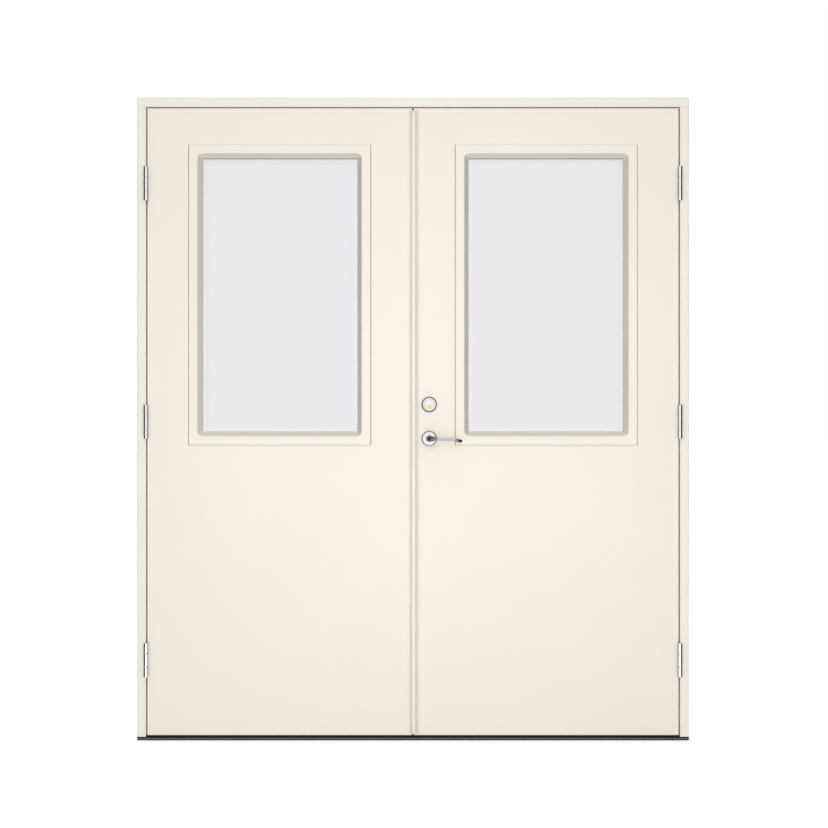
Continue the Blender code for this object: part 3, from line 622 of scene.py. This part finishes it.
def addTurned(shape, profile, centre, axis, steps, weld=1e-7):
    # a profile of (radius, distance along the axis), spun all the way round and welded where it meets
    before = set(shape.verts)
    verts = [shape.verts.new((radius, 0, along)) for radius, along in profile]
    edges = [shape.edges.new(pair) for pair in zip(verts, verts[1:])]
    bmesh.ops.spin(
        shape, geom=verts + edges, cent=(0, 0, 0), axis=(0, 0, 1),
        angle=2 * math.pi, steps=steps, use_merge=True,
    )
    bmesh.ops.remove_doubles(shape, verts=addedTo(shape, before), dist=weld)
    made = addedTo(shape, before)
    bmesh.ops.recalc_face_normals(shape, faces=facesOf(made))
    bmesh.ops.transform(shape, matrix=Matrix.Translation(centre) @ turnTo(axis), verts=made)


def easedEdge(radius, ease, steps):
    # the rounded edge at an end of a turned profile, as (radius, distance from the end)
    turns = [math.pi / 2 * step / steps for step in range(steps + 1)]
    return [(radius - ease + ease * math.sin(t), ease - ease * math.cos(t)) for t in turns]


def addRing(shape, low, high, width, rounding=0.0, segments=2):
    # an upright rectangular ring, width wide across its members and as deep as low to high in Y
    before = set(shape.verts)
    flat = bmesh.ops.create_grid(shape, x_segments=1, y_segments=1, size=0.5)["verts"]
    bmesh.ops.rotate(shape, verts=flat, matrix=Matrix.Rotation(math.pi / 2, 3, "X"))
    size = Vector(high) - Vector(low)
    bmesh.ops.scale(shape, vec=(size.x, 1, size.z), verts=flat)
    middle = (Vector(high) + Vector(low)) / 2
    bmesh.ops.translate(shape, vec=(middle.x, low[1], middle.z), verts=flat)
    sheet = facesOf(flat)
    bmesh.ops.inset_region(
        shape, faces=sheet, thickness=width, use_boundary=True, use_even_offset=True,
    )
    bmesh.ops.delete(shape, geom=sheet, context="FACES")
    pushed = bmesh.ops.extrude_face_region(shape, geom=facesOf(addedTo(shape, before)))["geom"]
    pushed = [item for item in pushed if isinstance(item, bmesh.types.BMVert)]
    bmesh.ops.translate(shape, vec=(0, size.y, 0), verts=pushed)
    made = addedTo(shape, before)
    bmesh.ops.recalc_face_normals(shape, faces=facesOf(made))
    if rounding:
        soften(shape, sharpEdges(made), rounding, segments)


def addExtruded(shape, outline, low, high, rounding=0.0):
    # a plan outline of (x, y) points run up from low to high
    before = set(shape.verts)
    ground = shape.faces.new([shape.verts.new((x, y, low)) for x, y in outline])
    pushed = bmesh.ops.extrude_face_region(shape, geom=[ground])["geom"]
    pushed = [item for item in pushed if isinstance(item, bmesh.types.BMVert)]
    bmesh.ops.translate(shape, vec=(0, 0, high - low), verts=pushed)
    made = addedTo(shape, before)
    bmesh.ops.recalc_face_normals(shape, faces=facesOf(made))
    if rounding:
        soften(shape, sharpEdges(made), rounding)


def addLoft(shape, rings, matrix=Matrix()):
    # circles of (number of sides, radius, place), bridged in turn and closed at both ends
    before = set(shape.faces)
    loops = []
    for count, radius, place in rings:
        made = bmesh.ops.create_circle(shape, segments=count, radius=radius, matrix=matrix @ place)
        loops.append(edgesOf(made["verts"]))
    for loop, following in zip(loops, loops[1:]):
        bmesh.ops.bridge_loops(shape, edges=loop + following)
    caps = [bmesh.ops.contextual_create(shape, geom=loops[end])["faces"][0] for end in (0, -1)]
    bmesh.ops.recalc_face_normals(shape, faces=[face for face in shape.faces if face not in before])
    return caps


# Rings of a screw's round head and its six-sided socket, as shares of the head's radius and height
screwHead = [
    {"sides": 24, "radius": 1, "height": 0},
    {"sides": 24, "radius": 1, "height": 0.4},
    {"sides": 24, "radius": 0.8, "height": 1},
    {"sides": 24, "radius": 0.46, "height": 1},
    {"sides": 6, "radius": 0.40, "height": 1},
    {"sides": 6, "radius": 0.36, "height": 0.15},
]


def addScrew(shape, centre, outward, radius, proud):
    rings = []
    for ring in screwHead:
        lift = Matrix.Translation((0, 0, ring["height"] * proud))
        rings.append((ring["sides"], ring["radius"] * radius, lift))
    addLoft(shape, rings, Matrix.Translation(centre) @ turnTo(outward))


def addPiece(name, shape, finish, body, stands=(), sharpest=35):
    assert len(shape.faces) > 0, name + " has no faces"
    mesh = bpy.data.meshes.new(name)
    shape.to_mesh(mesh)
    shape.free()
    mesh.shade_smooth()
    mesh.set_sharp_from_angle(angle=math.radians(sharpest))
    mesh.materials.append(finishes[finish])
    piece = bpy.data.objects.new(name, mesh)
    bpy.context.scene.collection.objects.link(piece)
    even = piece.modifiers.new("even_normals", "WEIGHTED_NORMAL")
    even.keep_sharp = True
    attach(piece, body)
    if stands:
        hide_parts(*stands)


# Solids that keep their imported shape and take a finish
def dress(finish, *names):
    for name in names:
        nodes[name].material_slots[0].material = finishes[finish]


dress("leafPaint", "left_leaf_slab", "right_leaf_slab")
dress("trimPaint", *[f"{side}_{face}_window_trim" for side in sides for face in faces])
dress("beadPaint", *[f"{side}_{face}_glazing_bead" for side in sides for face in faces])
dress("jambPaint", "left_jamb", "right_jamb")
dress("headPaint", "head")
dress("sillMetal", "sill")
dress("stopMetal", "threshold_stop")
dress("plateSteel", "strike_plate", "lock_faceplate", "top_flush_bolt", "bottom_flush_bolt")
dress("plateSteel", "latch_bolt", "dead_bolt")
dress("cylinderChrome", "cylinder_body")
dress("brass", "cylinder_plug")
print("packed solids dressed")


# Sealed glazing: two panes, a spacer between them, the seal behind it and gaskets under the beads
glazing = {
    "pane": 0.004,
    "arris": 0.0004,
    "sharpest": 15,          # degrees at which two faces of a pane no longer shade as one
    "sealBand": 0.003,       # outer seal from the panes' rim to the spacer
    "spacerHeight": 0.0062,
    "spacerGap": 0.0003,
    "spacerRound": 0.0006,
    "beadWidth": 0.015,
    "gasketWidth": {"outer": 0.0076, "inner": 0.0008},  # lips lying on the panes
    "gasketProud": 0.0006,
    "gasketGap": 0.0001,
    "gasketRound": 0.00015,
}


def glassUnit(side):
    low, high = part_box(side + "_glass_unit")
    body = side + "_leaf"
    panes = bmesh.new()
    addBlock(panes, low, (high.x, low.y + glazing["pane"], high.z), glazing["arris"])
    addBlock(panes, (low.x, high.y - glazing["pane"], low.z), high, glazing["arris"])
    name = side + "_glass_panes"
    addPiece(name, panes, "glass", body, [side + "_glass_unit"], glazing["sharpest"])

    seal = bmesh.new()
    inner = Vector((0, glazing["pane"], 0))
    addRing(seal, low + inner, high - inner, glazing["sealBand"])
    addPiece(side + "_glass_edge_seal", seal, "sealBlack", body)

    spacer = bmesh.new()
    inset = Vector((glazing["sealBand"], glazing["pane"] + glazing["spacerGap"], glazing["sealBand"]))
    addRing(spacer, low + inset, high - inset, glazing["spacerHeight"], glazing["spacerRound"])
    addPiece(side + "_glass_spacer", spacer, "spacerWhite", body)

    gaskets = bmesh.new()
    edge = glazing["beadWidth"] + glazing["gasketGap"]
    for face, step in faces.items():
        beadLow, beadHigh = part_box(f"{side}_{face}_glazing_bead")
        glassFace = low.y if step < 0 else high.y
        depth = sorted(glassFace + step * glazing[end] for end in ("gasketGap", "gasketProud"))
        addRing(
            gaskets,
            (beadLow.x + edge, depth[0], beadLow.z + edge),
            (beadHigh.x - edge, depth[1], beadHigh.z - edge),
            glazing["gasketWidth"][face],
            glazing["gasketRound"],
        )
    addPiece(side + "_glazing_gaskets", gaskets, "gasketWhite", body)


for side in sides:
    glassUnit(side)
print("glazing made")


# Seals: a bulb on a stem round the doorway, and three fins along the right leaf's meeting edge
seals = {
    "width": 0.003,
    "bulbDepth": 0.0056,
    "bulbRound": 0.0013,
    "bulbSteps": 5,
    "stem": 0.0012,
    "stemSink": 0.0002,      # into the bulb
    "carrier": 0.0011,
    "fin": 0.0009,
    "fins": 3,
    "finRound": 0.0003,
    "finSink": 0.0004,       # short of the carrier's back
}


def frameSeal():
    low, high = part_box("frame_seal")
    width = seals["width"]
    shape = bmesh.new()
    bulbHigh = (high.x, low.y + seals["bulbDepth"], high.z)
    addRing(shape, low, bulbHigh, width, seals["bulbRound"], seals["bulbSteps"])
    inset = (width - seals["stem"]) / 2
    addRing(
        shape,
        (low.x + inset, low.y + seals["bulbDepth"] - seals["stemSink"], low.z + inset),
        (high.x - inset, high.y, high.z - inset),
        seals["stem"],
    )
    addPiece("frame_seal_bulb", shape, "sealBlack", "frame", ["frame_seal"])


def meetingSeal():
    low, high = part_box("meeting_seal")
    shape = bmesh.new()
    addBlock(shape, (high.x - seals["carrier"], low.y, low.z), high, seals["finRound"])
    spread = high.y - low.y - seals["fin"]
    for number in range(seals["fins"]):
        front = low.y + spread * number / (seals["fins"] - 1)
        finHigh = (high.x - seals["finSink"], front + seals["fin"], high.z)
        addBlock(shape, (low.x, front, low.z), finHigh, seals["finRound"])
    addPiece("meeting_seal_fins", shape, "sealBlack", "right_leaf", ["meeting_seal"])


frameSeal()
meetingSeal()
print("seals made")


# Cover strips, in the hollow section that their painted shade follows
def hollow(start, end, seat, proud):
    # the round hollow between two places across a strip, from start to end
    points = []
    for step in range(strips["steps"] + 1):
        share = step / strips["steps"]
        level = proud - (proud - strips["web"]) * math.sin(math.pi * share)
        points.append((start + (end - start) * share, seat - level))
    return points


def meetingStrip(side):
    low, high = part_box(side + "_meeting_strip")
    proud = high.y - low.y
    face = [(low.x, high.y), (low.x, low.y)]
    if side == "left":
        face += hollow(low.x + strips["lip"], high.x, high.y, proud)
    else:
        face += hollow(low.x + strips["ridge"], high.x - strips["lip"], high.y, proud)
        face.append((high.x, low.y))
    face.append((high.x, high.y))
    shape = bmesh.new()
    addExtruded(shape, face, low.z, high.z, strips["round"])
    name = side + "_meeting_strip"
    addPiece(name + "_fine", shape, "stripPaint", side + "_leaf", [name])


for side in sides:
    meetingStrip(side)
print("meeting strips made")


# Tread of the sill: low ribs along it
tread = {
    "ribs": 12,
    "ribWidth": 0.0022,
    "ribHeight": 0.0005,
    "ribSink": 0.0001,
    "ribRound": 0.0002,
    "front": -0.044,
    "back": 0.014,
    "reach": 0.861,
}
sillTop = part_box("sill")[1].z
ribs = bmesh.new()
for number in range(tread["ribs"]):
    y = tread["front"] + (tread["back"] - tread["front"]) * number / (tread["ribs"] - 1)
    addBlock(
        ribs,
        (-tread["reach"], y, sillTop - tread["ribSink"]),
        (tread["reach"], y + tread["ribWidth"], sillTop + tread["ribHeight"]),
        tread["ribRound"],
    )
addPiece("sill_tread_ribs", ribs, "sillMetal", "frame")
print("sill tread made")


# Hinges: three knuckles with eased ends on a pin, plates let into the leaf and the jamb
hinge = {
    "middleKnuckle": 0.044,
    "joint": 0.0012,         # gap between knuckles
    "knuckleSteps": 48,
    "pinRadius": 0.004,
    "pinInset": 0.002,
    "pinEase": 0.0005,
    "pinSteps": 32,
    "plate": 0.0025,
    "strapSink": 0.001,      # from a knuckle into the plate
    "endRadius": 0.0012,
    "endSteps": 4,
    "plateEdge": 0.0003,
    "screwRadius": 0.0036,
    "screwProud": 0.0004,
    "screwInset": 0.016,     # from the plate's end to the first screw
    "screwBack": 0.017,      # behind the plate's front edge
}
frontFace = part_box("head")[0].y


def easedRod(radius, length, ease):
    # half profile of a rod whose ends are rounded over, from its lower pole to its upper one
    edge = easedEdge(radius, ease, hinge["endSteps"])
    return [(0, 0), *edge, *[(r, length - h) for r, h in reversed(edge)], (0, length)]


def hingeHalf(side, place, half, knuckles):
    name = f"{side}_{place}_hinge_{half}_half"
    low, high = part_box(name)
    axisX, axisY = joints[side + "_leaf_hinge"]["pos_m"][:2]
    radius = axisY - low.y
    outward = sides[side]
    if half == "frame":
        body = "frame"
        outerX = high.x if outward > 0 else low.x
        plateX = outerX - outward * hinge["plate"]
    else:
        body = side + "_leaf"
        slabLow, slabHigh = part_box(side + "_leaf_slab")
        plateX = slabHigh.x if outward > 0 else slabLow.x
        outerX = plateX - outward * hinge["plate"]
    plateEnds = sorted((plateX, outerX))
    shape = bmesh.new()
    addBlock(shape, (plateEnds[0], frontFace, low.z), (plateEnds[1], high.y, high.z), hinge["plateEdge"])
    for lowEnd, highEnd in knuckles:
        rod = easedRod(radius, highEnd - lowEnd, hinge["endRadius"])
        addTurned(shape, rod, (axisX, axisY, lowEnd), (0, 0, 1), hinge["knuckleSteps"])
        strapBack = frontFace + hinge["strapSink"]
        addBlock(shape, (plateEnds[0], axisY, lowEnd), (plateEnds[1], strapBack, highEnd))
    if half == "frame":
        pin = easedRod(hinge["pinRadius"], high.z - low.z - 2 * hinge["pinInset"], hinge["pinEase"])
        addTurned(shape, pin, (axisX, axisY, low.z + hinge["pinInset"]), (0, 0, 1), hinge["pinSteps"])
    addPiece(name + "_fine", shape, "hingeSteel", body, [name])

    screws = bmesh.new()
    facing = Vector((plateX - outerX, 0, 0)).normalized()
    for height in (low.z + hinge["screwInset"], (low.z + high.z) / 2, high.z - hinge["screwInset"]):
        centre = (plateX, frontFace + hinge["screwBack"], height)
        addScrew(screws, centre, facing, hinge["screwRadius"], hinge["screwProud"])
    addPiece(name + "_screws", screws, "zinc", body)


for side in sides:
    for place in ("bottom", "middle", "top"):
        low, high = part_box(f"{side}_{place}_hinge_leaf_half")
        middle = (low.z + high.z) / 2
        reach = hinge["middleKnuckle"] / 2
        gap = hinge["joint"] / 2
        hingeHalf(side, place, "leaf", [(middle - reach + gap, middle + reach - gap)])
        hingeHalf(side, place, "frame", [(low.z, middle - reach - gap), (middle + reach + gap, high.z)])
print("hinges made")


# Lock and bolt plates in the meeting edges: countersunk screws, and the flush bolts' finger levers
edgePlates = {
    "screwRadius": 0.0034,
    "screwProud": 0.0002,
    "screwInset": 0.010,
    "halfThickness": 0.0015,
    "fingerLength": 0.040,
    "fingerWidth": 0.0065,
    "fingerThickness": 0.0012,
    "fingerDrop": 0.0014,    # its back lies this far under the plate's face
    "fingerRound": 0.0005,
    "edgeLean": 0.003,       # over the leaf's thickness
}
slabLow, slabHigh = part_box("left_leaf_slab")
meetingLean = edgePlates["edgeLean"] / (slabHigh.y - slabLow.y)


def plateFacing(side):
    # the meeting edge leans back, so its plates face the other leaf and a little inwards
    return Vector((-sides[side], meetingLean, 0)).normalized()


def plateScrews(node, side):
    low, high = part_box(node)
    facing = plateFacing(side)
    centre = middleOf(node) + facing * edgePlates["halfThickness"]
    shape = bmesh.new()
    for height in (low.z + edgePlates["screwInset"], high.z - edgePlates["screwInset"]):
        place = (centre.x, centre.y, height)
        addScrew(shape, place, facing, edgePlates["screwRadius"], edgePlates["screwProud"])
    addPiece(node + "_screws", shape, "zinc", side + "_leaf")


def fingerLever(node):
    facing = plateFacing("left")
    centre = middleOf(node) + facing * (edgePlates["halfThickness"] - edgePlates["fingerDrop"])
    half = Vector((edgePlates["fingerWidth"] / 2, edgePlates["fingerLength"] / 2, 0))
    lift = Vector((0, 0, edgePlates["fingerThickness"]))
    # laid out flat, then stood up in the plate with its length upright
    upright = Matrix((facing.cross(Vector((0, 0, 1))), (0, 0, 1), facing)).transposed().to_4x4()
    shape = bmesh.new()
    addBlock(shape, -half, half + lift, edgePlates["fingerRound"], 3, Matrix.Translation(centre) @ upright)
    addPiece(node + "_finger_lever", shape, "zinc", "left_leaf")


plateScrews("lock_faceplate", "right")
for node in ("strike_plate", "top_flush_bolt", "bottom_flush_bolt"):
    plateScrews(node, "left")
for node in ("top_flush_bolt", "bottom_flush_bolt"):
    fingerLever(node)
print("edge plates fitted")


# Lever handles, from the measures above
def leverLine():
    # its centre line, as points (along the leaf, away from it, up) and the bar's radius at each
    tip = lever["reach"] - lever["bar"]
    line = [(0, lever["collarGap"], 0, lever["neck"]), (0, 0.5 * lever["standOff"], 0, lever["neck"])]
    for step in range(lever["bendSteps"] + 1):
        angle = math.pi / 2 * step / lever["bendSteps"]
        taper = 1 - math.cos(angle)
        line.append((
            lever["bend"] * taper,
            lever["standOff"] - lever["bend"] * (1 - math.sin(angle)),
            0,
            lever["neck"] - (lever["neck"] - lever["bar"]) * taper,
        ))
    run = tip - lever["straight"]
    corner = tip - lever["tipBend"]
    for step in range(lever["dropSteps"]):
        along = lever["straight"] + (corner - lever["straight"]) * step / lever["dropSteps"]
        fall = (1 - math.cos(math.pi * (along - lever["straight"]) / run)) / 2
        line.append((along, lever["standOff"], -lever["drop"] * fall, lever["bar"]))
    for step in range(lever["bendSteps"] + 1):
        angle = math.pi / 2 * step / lever["bendSteps"]
        along = corner + lever["tipBend"] * math.sin(angle)
        fall = (1 - math.cos(math.pi * (along - lever["straight"]) / run)) / 2
        away = lever["standOff"] - lever["tipBend"] * (1 - math.cos(angle))
        line.append((along, away, -lever["drop"] * fall, lever["bar"]))
    line.append((tip, lever["standOff"] - lever["return"], -lever["drop"], lever["bar"]))
    return line


def leverHandle(face):
    step = faces[face]
    slabLow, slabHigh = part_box("right_leaf_slab")
    leafFace = slabLow.y if step < 0 else slabHigh.y
    pivotX, _, pivotZ = joints["lever_turn"]["pos_m"]
    line = [(Vector((along, away, up)), radius) for along, away, up, radius in leverLine()]
    rings = []
    for index, (point, radius) in enumerate(line):
        before = line[max(index - 1, 0)][0]
        after = line[min(index + 1, len(line) - 1)][0]
        turn = turnTo((after - before).normalized())
        # each ring is rolled so that its first vertex stays on top
        upright = turn.inverted() @ Vector((0, 0, 1)).to_4d()
        roll = Matrix.Rotation(math.atan2(upright.y, upright.x), 4, "Z")
        rings.append((lever["sides"], radius, Matrix.Translation(point) @ turn @ roll))
    shape = bmesh.new()
    root, end = addLoft(shape, rings)
    soften(shape, list(end.edges), lever["tipRound"] * lever["bar"], lever["tipSteps"])
    soften(shape, list(root.edges), lever["rootRound"])
    seat = Matrix.Translation((pivotX, leafFace, pivotZ)) @ Matrix.Diagonal((1, step, 1, 1))
    bmesh.ops.transform(shape, matrix=seat, verts=shape.verts)
    bmesh.ops.recalc_face_normals(shape, faces=shape.faces)
    node = face + "_lever"
    addPiece(node + "_fine", shape, "leverChrome", "lever", [node], lever["sharpest"])

    grub = bmesh.new()
    under = (pivotX, leafFace + step * lever["grubPlace"], pivotZ - lever["neck"] + lever["grubSink"])
    addScrew(grub, under, (0, 0, -1), lever["grubRadius"], lever["grubProud"])
    addPiece(node + "_grub_screw", grub, "zinc", "lever")


for face in faces:
    leverHandle(face)


# Rosettes, cylinder collar and thumb-turn
rosette = {
    "steps": 96,
    "edge": 0.0022,
    "edgeSteps": 5,
    "lipInset": 0.0032,
    "lipDepth": 0.0003,
    "lipHalf": 0.0006,
}
collar = {"bore": 0.0166, "crown": 0.0212, "edge": 0.0003, "foot": 0.0004}
thumbTurn = {"width": 0.006, "height": 0.034, "edge": 0.0022, "edgeSteps": 5}


def discProfile(bore, radius, height):
    # from the bore's foot over the top, with a fine groove near the edge, to the foot outside
    lip = radius - rosette["edge"] - rosette["lipInset"]
    edge = easedEdge(radius, rosette["edge"], rosette["edgeSteps"])
    return [
        (bore, 0),
        (bore, height),
        (lip - rosette["lipHalf"], height),
        (lip, height - rosette["lipDepth"]),
        (lip + rosette["lipHalf"], height),
        *[(r, height - h) for r, h in edge],
        (radius, 0),
        (bore, 0),
    ]


def onLeaf(node, step):
    # the centre of a round node where it sits on the leaf, its radius and its height
    low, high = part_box(node)
    seat = high.y if step < 0 else low.y
    return Vector(((low.x + high.x) / 2, seat, (low.z + high.z) / 2)), (high.z - low.z) / 2, high.y - low.y


for face, step in faces.items():
    node = face + "_rosette"
    centre, radius, height = onLeaf(node, step)
    shape = bmesh.new()
    disc = discProfile(lever["neck"] + lever["collarGap"], radius, height)
    addTurned(shape, disc, centre, (0, step, 0), rosette["steps"])
    addPiece(node + "_fine", shape, "rosetteChrome", "right_leaf", [node])

centre, radius, height = onLeaf("cylinder_collar", -1)
shape = bmesh.new()
addTurned(
    shape,
    [
        (collar["bore"], 0),
        (collar["bore"], height - collar["edge"]),
        (collar["bore"] + collar["edge"], height),
        (collar["crown"] - collar["edge"], height),
        (collar["crown"], height - collar["edge"]),
        (radius, collar["foot"]),
        (radius, 0),
        (collar["bore"], 0),
    ],
    centre,
    (0, -1, 0),
    rosette["steps"],
)
addPiece("cylinder_collar_fine", shape, "collarChrome", "right_leaf", ["cylinder_collar"])

centre, radius, reach = onLeaf("thumb_turn", 1)
height = onLeaf("inner_rosette", 1)[2]
shape = bmesh.new()
addTurned(shape, [*discProfile(0, radius, height)[1:-1], (0, 0)], centre, (0, 1, 0), rosette["steps"])
half = Vector((thumbTurn["width"] / 2, 0, thumbTurn["height"] / 2))
addBlock(
    shape,
    centre - half + Vector((0, height / 2, 0)),
    centre + half + Vector((0, reach, 0)),
    thumbTurn["edge"],
    thumbTurn["edgeSteps"],
)
addPiece("thumb_turn_fine", shape, "turnChrome", "right_leaf", ["thumb_turn"])
print("handles and lock furniture made")


# Studio: a pale floor, soft lamps, white behind the door and dark side cards for the metal to mirror
studio = {
    "ambient": 0.645,
    "sideLoss": 0.70,        # the ambient light is weaker from the sides
    "skyGain": 0.62,         # and stronger from above
    "floorSize": 120.0,
    "floorColour": (0.92, 0.92, 0.92, 1),
    "floorBounce": (0.72, 0.72, 0.72, 1),  # its colour as the door's paint sees it
    "floorLift": 0.315,
    "lampAway": 3.0,         # one lamp in front and one behind
    "lampHeight": 1.22,
    "lampWidth": 2.4,
    "lampTall": 2.36,
    "lampPower": 40.6,
    "cardX": 1.20,
    "cardReach": 0.88,
    "cardTop": 3.0,
    "cardFoot": 0.01,
    "cardColour": (0.03, 0.03, 0.03, 1),
}


def seenDirectly(graph):
    # 1 for what the camera sees, straight, mirrored in metal or through glass
    rays = [graph.node("ShaderNodeLightPath", output=ray)
            for ray in ("Is Camera Ray", "Is Glossy Ray", "Is Transmission Ray")]
    return graph.maths("MAXIMUM", graph.maths("MAXIMUM", rays[0], rays[1]), rays[2])


def studioWorld():
    world = bpy.data.worlds.new("studio")
    bpy.context.scene.world = world
    world.use_nodes = True
    graph = Graph(world.node_tree)
    x, y, z = graph.apart(graph.node("ShaderNodeTexCoord", output="Generated"))
    fromAbove = graph.maths("MAXIMUM", z, 0.0)
    level = studio["ambient"] - studio["sideLoss"] * abs(x) + studio["skyGain"] * fromAbove
    ambient = graph.node("ShaderNodeBackground", inputs={"Color": (1, 1, 1, 1), "Strength": level})
    white = graph.node("ShaderNodeBackground", inputs={"Color": (1, 1, 1, 1), "Strength": 1.0})
    surface = graph.node("ShaderNodeMixShader", inputs={0: seenDirectly(graph), 1: ambient, 2: white})
    graph.feed(world.node_tree.nodes["World Output"].inputs["Surface"], surface)


def stagePlane(name, corners, material):
    shape = bmesh.new()
    shape.faces.new([shape.verts.new(corner) for corner in corners])
    mesh = bpy.data.meshes.new(name)
    shape.to_mesh(mesh)
    shape.free()
    mesh.materials.append(material)
    plane = bpy.data.objects.new(name, mesh)
    bpy.context.scene.collection.objects.link(plane)
    return plane


def studioFloor():
    finish = bpy.data.materials.new("studio_floor")
    finish.use_nodes = True
    graph = Graph(finish.node_tree)
    finish.node_tree.nodes.remove(finish.node_tree.nodes["Principled BSDF"])
    seen = seenDirectly(graph)
    colour = graph.blend(seen, studio["floorBounce"], studio["floorColour"])
    matt = graph.node("ShaderNodeBsdfDiffuse", inputs={"Color": colour})
    lift = graph.node("ShaderNodeEmission", inputs={"Strength": studio["floorLift"] * seen})
    surface = graph.node("ShaderNodeAddShader", inputs={0: matt, 1: lift})
    graph.feed(finish.node_tree.nodes["Material Output"].inputs["Surface"], surface)
    half = studio["floorSize"] / 2
    stagePlane("floor", [(-half, -half, 0), (half, -half, 0), (half, half, 0), (-half, half, 0)], finish)


def sideCards():
    finish, graph, inputs = newFinish("side_card", {"Base Color": studio["cardColour"], "Roughness": 1.0})
    reach, top, foot = studio["cardReach"], studio["cardTop"], studio["cardFoot"]
    for side, step in sides.items():
        x = step * studio["cardX"]
        corners = [(x, -reach, foot), (x, reach, foot), (x, reach, top), (x, -reach, top)]
        card = stagePlane(side + "_card", corners, finish)
        card.visible_camera = False
        card.visible_diffuse = False
        card.visible_transmission = False
        card.visible_shadow = False


def softLamp(name, step):
    lamp = bpy.data.lights.new(name, "AREA")
    lamp.shape = "RECTANGLE"
    lamp.size = studio["lampWidth"]
    lamp.size_y = studio["lampTall"]
    lamp.energy = studio["lampPower"]
    holder = bpy.data.objects.new(name, lamp)
    bpy.context.scene.collection.objects.link(holder)
    holder.location = (0, step * studio["lampAway"], studio["lampHeight"])
    holder.rotation_euler = Vector((0, -step, 0)).to_track_quat("-Z", "Y").to_euler()
    holder.visible_camera = False
    holder.visible_glossy = False
    holder.visible_transmission = False


studioWorld()
studioFloor()
sideCards()
softLamp("front_lamp", -1)
softLamp("back_lamp", 1)

# Camera: level and square on, as the photograph was taken
view = {
    "pictureSize": 828,
    "metresPerPixel": 0.003234,   # at the door's face
    "middleColumn": 413.0,        # where x = 0 lies
    "groundRow": 740.6,           # where z = 0 lies at the door's face
    "distance": 3.3,              # from the door's face
    "sensor": 36.0,
    "farthest": 200.0,
}
camera = bpy.data.cameras.new("camera")
camera.sensor_width = view["sensor"]
camera.lens = view["sensor"] * view["distance"] / (view["pictureSize"] * view["metresPerPixel"])
camera.clip_end = view["farthest"]
eye = bpy.data.objects.new("camera", camera)
bpy.context.scene.collection.objects.link(eye)
middle = view["pictureSize"] / 2
eye.location = (
    (middle - view["middleColumn"]) * view["metresPerPixel"],
    frontFace - view["distance"],
    (view["groundRow"] - middle) * view["metresPerPixel"],
)
eye.rotation_euler = (math.pi / 2, 0, 0)
bpy.context.scene.camera = eye
bpy.context.scene.view_settings.view_transform = "Standard"
print("studio and camera set")
